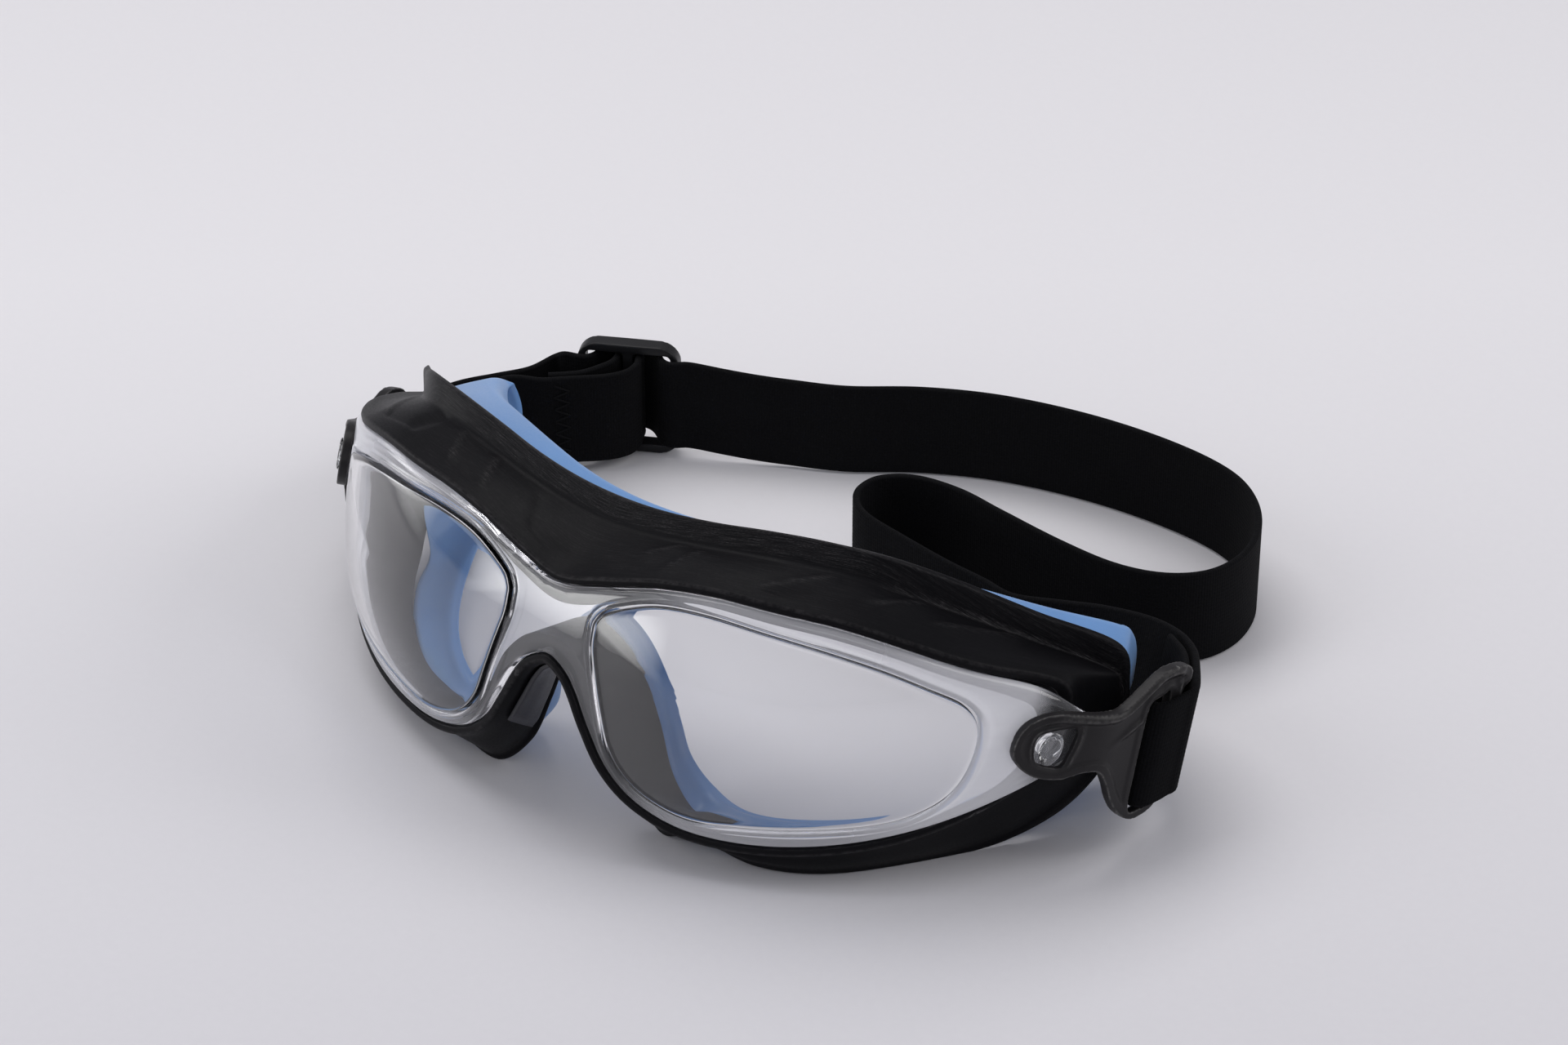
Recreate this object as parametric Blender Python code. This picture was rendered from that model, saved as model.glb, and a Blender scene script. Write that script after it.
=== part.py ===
"""Safety goggles with a clear two-eye front, a black carrier, a blue face seal,
swivelling strap clips and an elastic strap with an adjusting slider.

For Blender 4.5.  Sizes are millimetres in the goggles' own frame: +X is the
wearer's left, +Y points back to the face, +Z is up, and the origin is the
middle of the clear front's top edge.  world() scales them, stands them on the
table plane with the origin under the middle of the whole object, and turns
them to metres.
"""
import math
from collections import namedtuple

import bmesh
import bpy
import numpy as np
from mathutils import Vector

# ----------------------------------------------------------- driving sizes
SIZE = 1.04            # overall size factor, which makes the strap 20 mm wide
MM = 0.001             # metres in a millimetre
TABLE = -46.5          # height of the table plane
ORIGIN = (-0.6607, 66.1009)  # plan point under the middle of the whole object
GAP = 0.32             # gap between neighbouring pieces
STEPS = 3              # mesh steps between two neighbouring control points
SHARP_ANGLE = 40.0     # edges steeper than this many degrees are shaded sharp
UP = (0.0, 0.0, 1.0)

FRONT_T = 2.2          # thickness of the clear front
FRONT_BANDS = 3        # mesh bands from its outer edge to the eye opening
LENS_T = 1.8           # thickness of a lens
LENS_PROUD = 0.5       # a lens edge stands this far before the clear front
LENS_DOME = 1.5        # extra rise at the middle of a lens
LENS_BANDS = 4         # mesh bands from the lens edge to its middle
LENS_SPREAD = 1.15     # power that spaces those bands
LENS_CENTRE = (37.0, -16.5)  # x, z

# Curvature of the clear front, over 70 mm sideways and 20 mm up
WRAP_SPAN, LEAN_SPAN = 70.0, 20.0
WRAP2, WRAP4 = 20.3, 12.0    # sideways, squared and to the fourth power
LEAN, LEAN2 = 7.5, 2.4       # upwards, linear and squared
TWIST = 0.5

STRAP_W = 19.2         # width of the elastic strap
STRAP_T = 1.3          # thickness of the elastic strap
FLAT_Z = TABLE + STRAP_W / 2  # mid-height of the strap standing on the table

# Name: base colour, roughness
MATERIALS = {
    "clear": ((0.86, 0.88, 0.92), 0.05),
    "black_rubber": ((0.030, 0.030, 0.034), 0.55),
    "nose_rubber": ((0.022, 0.022, 0.024), 0.50),
    "blue_seal": ((0.10, 0.27, 0.60), 0.45),
    "black_plastic": ((0.035, 0.034, 0.037), 0.42),
    "slider_plastic": ((0.030, 0.031, 0.033), 0.38),
    "elastic": ((0.010, 0.010, 0.011), 0.90),
    "thread": ((0.020, 0.020, 0.022), 0.80),
}

# ---------------------------------------------------------- outline tables
# The half outlines have 23 control points each.  They run from the middle of
# the top edge, round the wearer's left ear, along the cheek and up to the
# middle of the nose arch.

# Outer edge of the clear front: x, z
OUTER = [
    (0, 0.2), (9.5, 2.2), (19, 4.4), (28.5, 5.1), (38, 4.3), (48, 2.7),
    (57, -0.5), (66.5, -5.5), (74, -10.0), (77, -14.0), (76.5, -21), (74.5, -27),
    (70, -31.3), (61, -35), (50, -37.6), (38, -38.8), (27.3, -38.2), (19, -35),
    (13.5, -30), (9.5, -23), (6.5, -17.2), (3.8, -14), (0, -12.3)]
# Points of OUTER that move out on the clear front to form the ear, by index
EAR_TAB = {9: (78.2, -14.8), 10: (81.2, -20.5), 11: (77.8, -26.2)}
# Left eye opening, a closed loop, clockwise in x, z
EYE = [
    (9, -3.2), (11.3, -0.8), (19, 2.1), (28, 2.6), (38, 1.3), (47.5, -0.8),
    (56.1, -4), (63.5, -8.4), (66.9, -11.3), (68.6, -15), (68.6, -20), (67.2, -25.5),
    (64.3, -29.7), (59, -32.5), (49.5, -34), (38, -35.1), (29, -35.5), (22.5, -33.7),
    (17.5, -30.5), (14, -25.7), (12, -19.5), (10.6, -14.5), (9.6, -11), (8.9, -8.3),
    (8.7, -5.6)]
# Inner edge of the carrier's seat behind the clear front: x, z
SEAT = [
    (0, -3.2), (9.5, -0.9), (19, 2.0), (28.5, 3.0), (38, 2.3), (47.7, 0.7),
    (56.6, -2.4), (65.2, -7.1), (72.0, -11.6), (74.8, -15.2), (74.6, -21), (72.8, -26.3),
    (68.7, -30.1), (60.3, -33.7), (49.8, -36.2), (38, -37.0), (28.0, -36.6), (21.5, -33.8),
    (16.5, -29.5), (12.8, -22.5), (9.8, -16), (5.4, -11), (0, -9.3)]
# Crease where the carrier's brow meets its flange: x, y, z
CREASE = [
    (0, 14.1, 5.4), (9.5, 14.5, 5.7), (19, 15.9, 6.4), (28.5, 17.9, 7.1),
    (38.2, 20.8, 7.2), (47.7, 25.3, 5.3), (57.3, 33.6, -0.6), (66.6, 44.2, -8.7),
    (75.8, 54.4, -16.5), (77.1, 56, -20.5), (77, 55.8, -27), (75.3, 51.5, -35),
    (71, 43.5, -42.2), (64, 31, -45.2), (50, 13, -45.3), (38, 5.0, -44.4),
    (27, 2.4, -41.8), (18.3, 3.5, -45), (12.4, 5.5, -40), (9.3, 7.5, -31),
    (6.8, 8.5, -23), (3.9, 9, -18), (0, 9, -16)]
# Free edge of the flange: x, y, z
FLANGE = [
    (0, 16.6, 9.1), (9.5, 17.2, 9.3), (19, 18.7, 9.9), (28.4, 21, 10.7),
    (37.9, 23.7, 10.9), (47.4, 27.1, 9.7), (56.9, 34.3, 4.4), (66.4, 44.7, -4.0),
    (75.9, 54.7, -11.8), (77.7, 56.5, -19.5), (78.1, 56.2, -27), (76.5, 51.9, -35.8),
    (71.8, 44.0, -43.4), (64.1, 31.5, -46.5), (50, 13.5, -46.5), (38, 5.5, -45.8),
    (27, 3.0, -43.1), (17.9, 4.1, -46.5), (11.6, 6.2, -40.6), (8.4, 8.2, -31.4),
    (6.0, 9.2, -23.6), (3.4, 9.7, -18.9), (0, 9.7, -17)]
# Rear edge of the face seal: x, y, z
SEAL_REAR = [
    (0, 26.5, 2.9), (9, 27.5, 2.6), (18, 30.2, 1.8), (27, 34.2, 0.6),
    (35.5, 38.8, -1.2), (44, 44, -3.6), (52.5, 50, -6.8), (60.7, 57.6, -11.2),
    (68.6, 67.3, -16.8), (70.4, 70.8, -20.6), (70.2, 72.3, -27), (69.5, 70.5, -33.5),
    (66, 61.5, -40), (59, 45, -44.8), (49, 29.8, -45.7), (38, 20.0, -45.9),
    (28, 15.6, -45.9), (19.2, 16.5, -44.5), (14.0, 16.5, -39.6), (12.1, 15.9, -32),
    (9.3, 16.0, -24.3), (5.0, 16.6, -18.6), (0, 17, -16.3)]

# One value for each control point of the half outlines
# width of the seal's lip, as a part of LIP_W
LIP_PART = [1, 1, 1, 1, 1, 1, 0.95, 0.8, 0.6, 0.5, 0.5, 0.45, 0.4, 0.3, 0.3, 0.3,
            0.3, 0.3, 0.28, 0.28, 0.3, 0.3, 0.3]
# shift towards the rear of the inner corner of the carrier's rear end
WALL_BACK = [0, 0, 0, 0, 0, 0, 0, 0, 0, -1.5, -4, -6, -2.5, 0, 3.7, 6.3, 4.0, 3.6,
             3.6, 3.6, 2.5, 1.2, 0.8]
# distance of that corner inwards from the crease
WALL_T = [3.2, 3.2, 3.2, 3.2, 3.2, 3.2, 3.2, 3.2, 3.2, 3.2, 3.2, 3.2, 3.2, 3.2,
          3.2, 3.0, 2.6, 4.8, 4.4, 3.4, 3.2, 3.2, 3.2]
# shift towards the rear of the outer corner of the carrier's rear end
BASE_BACK = [0, 0, 0, 0, 0, 0, 0, 0, 0, 0, 0, 0, 0, 0, 3.7, 6.3, 3.6, 2.6,
             1.0, 0.6, 0.4, 0.2, 0]
# extra depth of the carrier's rim behind the clear front's outer face
RIM_BACK = [0, 0, 0, 0, 0, 0, 0, 0.2, 1.6, 2.5, 2.6, 2.5, 1.6, 0.3, 0, 0, 0, 0,
            0, 0, 0, 0, 0]


# ---------------------------------------------------------------- geometry
def world(p):
    """Goggles' frame in millimetres to world metres."""
    return Vector((p[0] - ORIGIN[0], p[1] - ORIGIN[1], p[2] - TABLE)) * SIZE * MM


def unit(v):
    v = np.asarray(v, float)
    return v / max(np.linalg.norm(v), 1e-9)


def square_to(v, axis):
    """Unit vector of the part of v that is square to a unit axis."""
    return unit(v - np.dot(v, axis) * axis)


def blend(start, end, part):
    return start * (1 - part) + end * part


def lifted(p, height):
    """The point, raised to the given height if it lies below."""
    return np.array((p[0], p[1], max(p[2], height)))


def smooth(points, steps, closed=False, mirror_ends=False):
    """Catmull-Rom curve through control points, `steps` pieces to a span."""
    p = np.asarray(points, float)
    if closed:
        padded = np.concatenate([p[-1:], p, p[:2]])
        spans = len(p)
    else:
        if mirror_ends:
            first, last = p[1].copy(), p[-2].copy()
            first[0], last[0] = -first[0], -last[0]
        else:
            first, last = 2 * p[0] - p[1], 2 * p[-1] - p[-2]
        padded = np.concatenate([[first], p, [last]])
        spans = len(p) - 1
    curve = []
    for i in range(spans):
        a, b, c, d = padded[i:i + 4]
        for k in range(steps):
            t = k / steps
            curve.append(0.5 * (2 * b + (c - a) * t + (2 * a - 5 * b + 4 * c - d) * t * t
                                + (3 * b - a - 3 * c + d) * t ** 3))
    if not closed:
        curve.append(p[-1])
    return np.array(curve)


def outward_2d(line):
    """Unit normals that point away from the eyes, along a half outline."""
    padded = np.vstack([line[1] * (-1, 1), line, line[-2] * (-1, 1)])
    tangent = padded[2:] - padded[:-2]
    normal = np.stack([-tangent[:, 1], tangent[:, 0]], 1)
    normal /= np.linalg.norm(normal, axis=1)[:, None]
    normal[0], normal[-1] = (0, 1), (0, -1)
    return normal


def front_point(x, z, depth):
    """Point `depth` behind the clear front's outer face, square to it."""
    u, v = x / WRAP_SPAN, z / LEAN_SPAN
    y = WRAP2 * u * u + WRAP4 * u ** 4 + LEAN * v + LEAN2 * v * v + TWIST * u * u * v
    slope_x = (2 * WRAP2 * u + 4 * WRAP4 * u ** 3 + 2 * TWIST * u * v) / WRAP_SPAN
    slope_z = (LEAN + 2 * LEAN2 * v + TWIST * u * u) / LEAN_SPAN
    return np.array((x, y, z)) - depth * unit((slope_x, -1.0, slope_z))


def tube(rings, closed=False):
    """Body through rings of points; its ends are joined if closed, else capped."""
    n, m = len(rings), len(rings[0])
    points = [p for ring in rings for p in ring]
    faces = [] if closed else [tuple(range(m)), tuple(reversed(range((n - 1) * m, n * m)))]
    for i in range(n if closed else n - 1):
        j = (i + 1) % n
        for k in range(m):
            l = (k + 1) % m
            faces.append((i * m + k, j * m + k, j * m + l, i * m + l))
    return points, faces


def mirrored(rings):
    return [[(-p[0], p[1], p[2]) for p in ring] for ring in rings]


# Cuts across every plate; on a clip they let the arm bend
PLATE_CUTS = (2.0, 5.0, 7.0, 9.0, 11.0, 13.5)


def plate(loops, place):
    """Plate over an outline with holes; place(x, y, k) gives a point of face
    k, which is 0 or 1."""
    bm = bmesh.new()
    edges = []
    for loop in loops:
        verts = [bm.verts.new((x, y, 0)) for x, y in loop]
        edges += [bm.edges.new((verts[i], verts[(i + 1) % len(verts)]))
                  for i in range(len(verts))]
    bmesh.ops.triangle_fill(bm, use_beauty=True, use_dissolve=False, edges=edges,
                            normal=(0, 0, 1))
    for cut in PLATE_CUTS:
        bmesh.ops.bisect_plane(bm, geom=bm.verts[:] + bm.edges[:] + bm.faces[:],
                               plane_co=(cut, 0, 0), plane_no=(1, 0, 0), dist=1e-5)
    bmesh.ops.triangulate(bm, faces=bm.faces)
    bm.verts.index_update()
    flat = [(v.co.x, v.co.y) for v in bm.verts]
    triangles = [tuple(v.index for v in f.verts) for f in bm.faces]
    rim = [(e.verts[0].index, e.verts[1].index) for e in bm.edges if len(e.link_faces) == 1]
    bm.free()

    n = len(flat)
    points = [place(x, y, k) for k in (1, 0) for x, y in flat]
    faces = triangles + [tuple(n + v for v in reversed(t)) for t in triangles]
    faces += [(a, b, n + b, n + a) for a, b in rim]
    return points, faces


# ---------------------------------------------------- materials and objects
def material(name):
    mat = bpy.data.materials.get(name)
    if mat is None:
        colour, roughness = MATERIALS[name]
        mat = bpy.data.materials.new(name)
        mat.use_nodes = True
        shader = mat.node_tree.nodes["Principled BSDF"]
        shader.inputs["Base Color"].default_value = (*colour, 1.0)
        shader.inputs["Roughness"].default_value = roughness
    return mat


def add_object(name, shape, material_name, origin=None):
    """Object from (points, faces) and an origin, all in the goggles' frame;
    without an origin it sits at the world's."""
    points, faces = shape
    origin = Vector((0, 0, 0)) if origin is None else world(origin)
    mesh = bpy.data.meshes.new(name)
    mesh.from_pydata([world(p) - origin for p in points], [], faces)
    bm = bmesh.new()
    bm.from_mesh(mesh)
    bmesh.ops.recalc_face_normals(bm, faces=bm.faces)
    bm.to_mesh(mesh)
    bm.free()
    mesh.shade_smooth()
    mesh.set_sharp_from_angle(angle=math.radians(SHARP_ANGLE))
    mesh.materials.append(material(material_name))
    obj = bpy.data.objects.new(name, mesh)
    obj.location = origin
    bpy.context.scene.collection.objects.link(obj)
    return obj


# -------------------------------------------------- clear front and lenses
front_edge = smooth([EAR_TAB.get(i, p) for i, p in enumerate(OUTER)], STEPS, mirror_ends=True)
eye_edge = smooth(EYE, STEPS, closed=True)


def clear_front():
    """Clear plastic round both eyes, with the bridge and the ears."""
    # each half's outline is closed up the mid-plane, with one point for each
    # point of the eye opening
    bridge_z = np.linspace(OUTER[-1][1], OUTER[0][1], 3 * STEPS + 1)[1:-1]
    rim = np.vstack([front_edge, [(0.0, z) for z in bridge_z]])
    count = len(rim)
    points, faces, index = [], [], {}

    def vertex(side, c, band, depth):
        """Index of a point; the halves share the points on the mid-plane."""
        part = band / FRONT_BANDS
        x, y, z = front_point(*(rim[c] * (1 - part) + eye_edge[c] * part), depth)
        key = (0 if abs(x) < 1e-6 else side, c, band, depth)
        if key not in index:
            index[key] = len(points)
            points.append((side * x, y, z))
        return index[key]

    for side in (1, -1):
        for i in range(count):
            j = (i + 1) % count
            for band in range(FRONT_BANDS):
                for depth in (0.0, FRONT_T):
                    corners = ((i, band), (j, band), (j, band + 1), (i, band + 1))
                    faces.append(tuple(vertex(side, c, b, depth) for c, b in corners))
            # edge walls, at the eye and outside, but none on the mid-plane
            on_mid_plane = abs(rim[i][0]) < 1e-6 and abs(rim[j][0]) < 1e-6
            for band in (FRONT_BANDS,) if on_mid_plane else (FRONT_BANDS, 0):
                corners = ((i, 0.0), (j, 0.0), (j, FRONT_T), (i, FRONT_T))
                faces.append(tuple(vertex(side, c, band, depth) for c, depth in corners))
    return points, faces


def lens(side):
    """Domed lens that fills one eye opening, a gap inside its edge."""
    centre = np.array(LENS_CENTRE)
    tangent = np.roll(eye_edge, -1, 0) - np.roll(eye_edge, 1, 0)
    inward = np.stack([tangent[:, 1], -tangent[:, 0]], 1)
    inward /= np.linalg.norm(inward, axis=1)[:, None]
    edge = eye_edge + inward * GAP
    n = len(edge)
    points, faces = [], []

    def add_point(x, z, depth):
        p = front_point(x, z, depth)
        points.append((side * p[0], p[1], p[2]))

    for back in (0.0, LENS_T):
        for band in range(LENS_BANDS):
            part = 1 - (band / LENS_BANDS) ** LENS_SPREAD
            dome = LENS_DOME * (1 - part * part)
            for q in edge:
                add_point(*(centre + (q - centre) * part), back - LENS_PROUD - dome)
        add_point(*centre, back - LENS_PROUD - LENS_DOME)

    face_size = LENS_BANDS * n + 1
    for start in (0, face_size):
        for band in range(LENS_BANDS - 1):
            a, b = start + band * n, start + (band + 1) * n
            for i in range(n):
                j = (i + 1) % n
                faces.append((a + i, a + j, b + j, b + i))
        last = start + (LENS_BANDS - 1) * n
        for i in range(n):
            faces.append((last + i, last + (i + 1) % n, last + n))
    for i in range(n):
        j = (i + 1) % n
        faces.append((i, j, face_size + j, face_size + i))
    return points, faces


# ------------------------------------------------------ carrier, pad, seal
RIM_W = 1.5            # width of the carrier's rim round the clear front
RIM_IN_DEPTH = 0.4     # depth of the rim's inner edge under the front's outer face
RIM_TOP_DEPTH = -0.1   # depth of the rim's outer edge
RIM_FOOT_OUT = 0.9     # the rim's foot lies this far beyond its outer edge
RIM_FOOT_DEPTH = 1.6
BROW_RISE = 0.5        # outward swell between the rim's foot and the crease
FLANGE_T = 1.6         # thickness of the flange
FOOT_RISE = 0.7        # the flange's edge is cut level this near the table
BASE_REAR = 0.1        # the rear end's outer corner: this far behind the flange
BASE_IN = 0.5          # and this far inside the crease
WALL_REAR = 0.8        # the rear end's inner corner: this far behind the crease
LEVEL_Z = 0.2          # part of the rearward slope kept when a corner is shifted

PAD_T = 1.2            # wall of the nose pad
PAD_FIRST = 18 * STEPS + 1   # station where the pad starts
PAD_FRONT = 0.25       # pad's front edge, as a part of the way from rim foot to brow
PAD_BACK = 0.78        # pad's back edge, as a part of the way from brow to crease
PAD_EDGE = 0.7         # wall at the pad's edges, as a part of PAD_T
PAD_BROW_EASE = 0.05   # extra room over the brow

SEAL_T = 1.7           # wall of the face seal
SEAL_ROOM = 2.2        # room between carrier and seal, in gaps
SEAL_EASE = 3.5        # extra room, in gaps, where the seal rounds the lower corner
EASE_AT = 12.6         # middle of that corner, in control points
EASE_SPAN = 2.6        # reach of the extra room either way, in control points
SEAL_SWELL = 0.3       # outward swell of the outer wall
SEAL_HOLLOW = 0.5      # outward swell of the inner wall
SEAL_LIFT = 0.6        # lowest part of the seal above the table
FRONT_IN_SHIFT = 0.1   # outward shift of the seal's inner front edge
LIP_W = 5.0            # width of the seal's inturned lip
LIP_REAR = 0.9         # the lip's free edge lies this far behind its root
LIP_T = 0.7 * SEAL_T

carrier_line, seat_line, crease_line, flange_line, seal_rear_line = (
    smooth(table, STEPS, mirror_ends=True) for table in (OUTER, SEAT, CREASE, FLANGE, SEAL_REAR))
rim_back, lip_part, wall_back, wall_in, base_back_shift = (
    smooth(table, STEPS) for table in (RIM_BACK, LIP_PART, WALL_BACK, WALL_T, BASE_BACK))
carrier_out = outward_2d(carrier_line)
STATIONS = len(carrier_line)

CarrierSection = namedtuple(
    "CarrierSection",
    "rim_in rim_top rim_foot brow crease flange flange_back base_back wall seat under")


def station(i):
    """Carrier section at one station, with its rearward and inward directions."""
    def rim_point(out, depth):
        x, z = carrier_line[i] + out * carrier_out[i]
        return front_point(x, z, depth)

    rim_in = rim_point(GAP, RIM_IN_DEPTH + rim_back[i])
    rim_top = rim_point(RIM_W, RIM_TOP_DEPTH + rim_back[i])
    rim_foot = rim_point(RIM_W + RIM_FOOT_OUT, RIM_FOOT_DEPTH + rim_back[i])
    under = rim_point(GAP, FRONT_T + GAP)
    seat = front_point(*seat_line[i], FRONT_T + GAP)
    crease, flange = crease_line[i], flange_line[i]

    rear = unit(crease - rim_top)
    inward = square_to(seat - crease, rear)
    across_flange = square_to(rear, unit(flange - crease))
    level = unit(rear * (1.0, 1.0, LEVEL_Z))

    brow = (rim_foot + crease) / 2 - inward * BROW_RISE
    flange_back = flange + FLANGE_T * across_flange
    if flange[2] < TABLE + FOOT_RISE:
        flange_back[2] = max(flange[2], TABLE)
    base_back = (crease + (FLANGE_T + BASE_REAR) * across_flange + BASE_IN * inward
                 + base_back_shift[i] * level)
    wall = crease + wall_in[i] * inward + WALL_REAR * rear + wall_back[i] * level
    ring = (rim_in, rim_top, rim_foot, brow, crease, flange, flange_back,
            base_back, wall, seat, under)
    return CarrierSection(*(lifted(p, TABLE) for p in ring)), rear, inward


def whole_loop(rings):
    """Closed tube from the left half's rings, both ends on the mid-plane."""
    return tube(rings + mirrored(rings[-2:0:-1]), closed=True)


def carrier():
    return whole_loop([station(i)[0] for i in range(STATIONS)])


def nose_pad():
    """Saddle on the nose arch, from one cheek to the other."""
    rings = []
    for i in range(PAD_FIRST, STATIONS):
        section, _, inward = station(i)
        out = -inward
        brow = section.brow
        front = blend(section.rim_foot, brow, PAD_FRONT)
        back = blend(brow, section.crease, PAD_BACK)
        middle = (front + back) / 2
        edge_out = GAP + PAD_T * PAD_EDGE
        rings.append([front + out * GAP, brow + out * (GAP + PAD_BROW_EASE),
                      back + out * GAP, back + out * edge_out,
                      middle + out * (GAP + PAD_T), front + out * edge_out])
    return tube(rings + mirrored(rings[-2::-1]))


def face_seal():
    """Soft wall from the carrier's rear to the face, with an inturned lip."""
    rear_out = outward_2d(seal_rear_line[:, (0, 2)])
    rings = []
    for i in range(STATIONS):
        carrier_section, rear, _ = station(i)
        base_back, wall = carrier_section.base_back, carrier_section.wall
        root = seal_rear_line[i]
        into = np.array((-rear_out[i][0], 0.0, -rear_out[i][1]))
        corner = max(0.0, 1 - abs(i / STEPS - EASE_AT) / EASE_SPAN)
        room = GAP * (SEAL_ROOM + SEAL_EASE * corner)
        across = unit(wall - base_back)
        away = square_to(rear, across)

        front_out = base_back + room * away + room * 0.5 * across
        front_in = wall + room * away - FRONT_IN_SHIFT * across
        run = unit(root - front_out)
        swell = (front_out + root) / 2 - into * SEAL_SWELL
        lip_back = root + into * LIP_W * lip_part[i] + np.array((0, LIP_REAR, 0))
        lip_front = lip_back - np.array((0, LIP_T, 0))
        inner = root + into * SEAL_T - run * SEAL_T
        inner_mid = (front_in + inner) / 2 - into * SEAL_HOLLOW
        section = (front_out, swell, root, lip_back, lip_front, inner, inner_mid, front_in)
        rings.append([lifted(p, TABLE + SEAL_LIFT) for p in section])
    return whole_loop(rings)


# --------------------------------------------------- strap clips and studs
# A clip is drawn flat on its own face: s along the arm, h up it.
CLIP_T = 1.8
CLIP_AT = (77.75, 34.5, -21.0)    # where s and h are zero
CLIP_TURN = (55.4, 79.0)          # plan heading of the head and of the arm
BEND_START, BEND_LENGTH = 4.0, 9.0  # stretch of s over which the heading turns
HEADING_STEPS = 40                # steps that add up the bent path
CLIP_UP = np.array((0.0, 0.31, 0.95))
RIGHT_DROP = 17.0                 # degrees the right clip hangs below the left
PIVOT = (-1.2, 0.8)               # stud centre: s, h
CLIP_EDGE = [
    (-8, 2.2), (-7.4, 4.6), (-5.8, 6.2), (-3, 6.9), (0, 6.8), (3.7, 5.9), (8.7, 4.7),
    (11.5, 4.3), (14.3, 5.0), (17.3, 6.3), (20.3, 7.4), (23.5, 7.3), (26.8, 6.2),
    (28.4, 4.6), (28.3, 2.8), (26.8, 1.6), (26.8, -3), (26.8, -9), (26.8, -15),
    (26.0, -18.6), (23.2, -19.7), (19.8, -19.2), (16.2, -16.6), (13.4, -13), (11.2, -9),
    (8.9, -6), (5.8, -5.2), (1.8, -5.5), (-2.4, -4.4), (-4.9, -2.9), (-6.7, -1.2),
    (-7.8, 0.5)]
CLIP_WINDOW = [   # opening round the stud
    (-3.6, 3.2), (-1.5, 3.6), (1.5, 3.6), (3.4, 3.1), (3.5, 1.0), (2.8, -1.4),
    (1.8, -3.4), (-0.6, -2.9), (-3.1, -1.6), (-3.95, 1.0)]
CLIP_SLOT = [     # slot for the strap
    (19.1, 2.5), (21.5, 2.8), (23.5, 2.6), (23.6, -4), (23.6, -11), (23.5, -17.8),
    (21.8, -18.1), (19.4, -17.7), (18.5, -15.4), (18.3, -11.3), (18.3, -6.5),
    (18.3, -2.8), (18.4, 0.6)]
CLIP_STEPS = 2

STUD_SIDES = 16
STUD_R = 2.0
# Shank, then oval head: distance out of the clip's face, radius along, radius up
STUD_PROFILE = [(-2.6, STUD_R, STUD_R), (1.05, STUD_R, STUD_R), (1.15, 2.1, 2.9),
                (1.4, 2.0, 2.75), (1.55, 1.3, 1.9)]


def clip_axes(s):
    """Point on the left clip's mid-face at distance s, its heading and its face."""
    head, arm = (math.radians(a) for a in CLIP_TURN)

    def direction(distance):
        k = min(max((distance - BEND_START) / BEND_LENGTH, 0.0), 1.0)
        a = head + (arm - head) * k * k * (3 - 2 * k)
        return np.array((math.cos(a), math.sin(a), 0.0))

    p = np.array(CLIP_AT, float)
    step = s / HEADING_STEPS
    for k in range(HEADING_STEPS):
        p = p + step * direction((k + 0.5) * step)
    along = direction(s)
    return p, along, unit(np.cross(along, CLIP_UP))


def drop(v):
    """Turn a vector of the right clip, drawn as the left one, by its drop."""
    face = clip_axes(PIVOT[0])[2]
    a = math.radians(-RIGHT_DROP)
    return (v * math.cos(a) + np.cross(face, v) * math.sin(a)
            + face * np.dot(face, v) * (1 - math.cos(a)))


def clip_point(s, h, out, side):
    """Point on a clip: s along the arm, h up it, `out` of its face."""
    p, _, face = clip_axes(s)
    q = p + h * CLIP_UP + out * face
    if side < 0:
        hub = clip_axes(PIVOT[0])[0] + PIVOT[1] * CLIP_UP
        q = hub + drop(q - hub)
    return np.array((side * q[0], q[1], q[2]))


def clip_up(side):
    v = CLIP_UP if side > 0 else drop(CLIP_UP)
    return np.array((side * v[0], v[1], v[2]))


def pivot(side):
    return clip_point(*PIVOT, 0.0, side)


def clip(side):
    loops = [smooth(loop, CLIP_STEPS, closed=True)
             for loop in (CLIP_EDGE, CLIP_WINDOW, CLIP_SLOT)]
    return plate(loops, lambda s, h, k: clip_point(s, h, (k - 0.5) * CLIP_T, side))


def stud(side):
    """Shank and oval head of the clear stud that carries a clip."""
    _, along, face = clip_axes(PIVOT[0])
    centre = pivot(1)
    rings = []
    for out, radius_along, radius_up in STUD_PROFILE:
        ring = []
        for k in range(STUD_SIDES):
            a = 2 * math.pi * k / STUD_SIDES
            q = (centre + out * face + radius_along * math.cos(a) * along
                 + radius_up * math.sin(a) * CLIP_UP)
            ring.append((side * q[0], q[1], q[2]))
        rings.append(ring)
    return tube(rings)


# ------------------------------------------------------------------ slider
# Slider frame: s along the strap, t across its thickness
SLIDER_AT = (-63.1, 99.7)
SLIDER_DIR = (0.894, 0.447)       # plan direction of s
SLIDER_L = 20.0                   # length along the strap
SLIDER_H = 23.6                   # height across the strap
SLIDER_T = 3.0                    # thickness
SLIDER_Z = TABLE + SLIDER_H / 2
SLIDER_CORNER_R = 4.0
SLOT_CENTRES = (2.0, 7.3)         # s of the centres of a slot's corners
SLOT_CORNER_R = 1.0
SLOT_ROOM = 0.45                  # room beyond each edge of the strap


def slider_point(s, t, z=SLIDER_Z):
    dx, dy = SLIDER_DIR
    return (SLIDER_AT[0] + s * dx + t * dy, SLIDER_AT[1] + s * dy - t * dx, z)


def rounded_box(x_low, x_high, y_high, radius, corner_points):
    """Box with round corners, given by the centres of the corners."""
    loop = []
    turn = 90 / (corner_points - 1)
    for centre_x, centre_y, start in ((x_high, y_high, 0), (x_low, y_high, 90),
                                      (x_low, -y_high, 180), (x_high, -y_high, 270)):
        for k in range(corner_points):
            a = math.radians(start + turn * k)
            loop.append((centre_x + radius * math.cos(a), centre_y + radius * math.sin(a)))
    return loop


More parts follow.
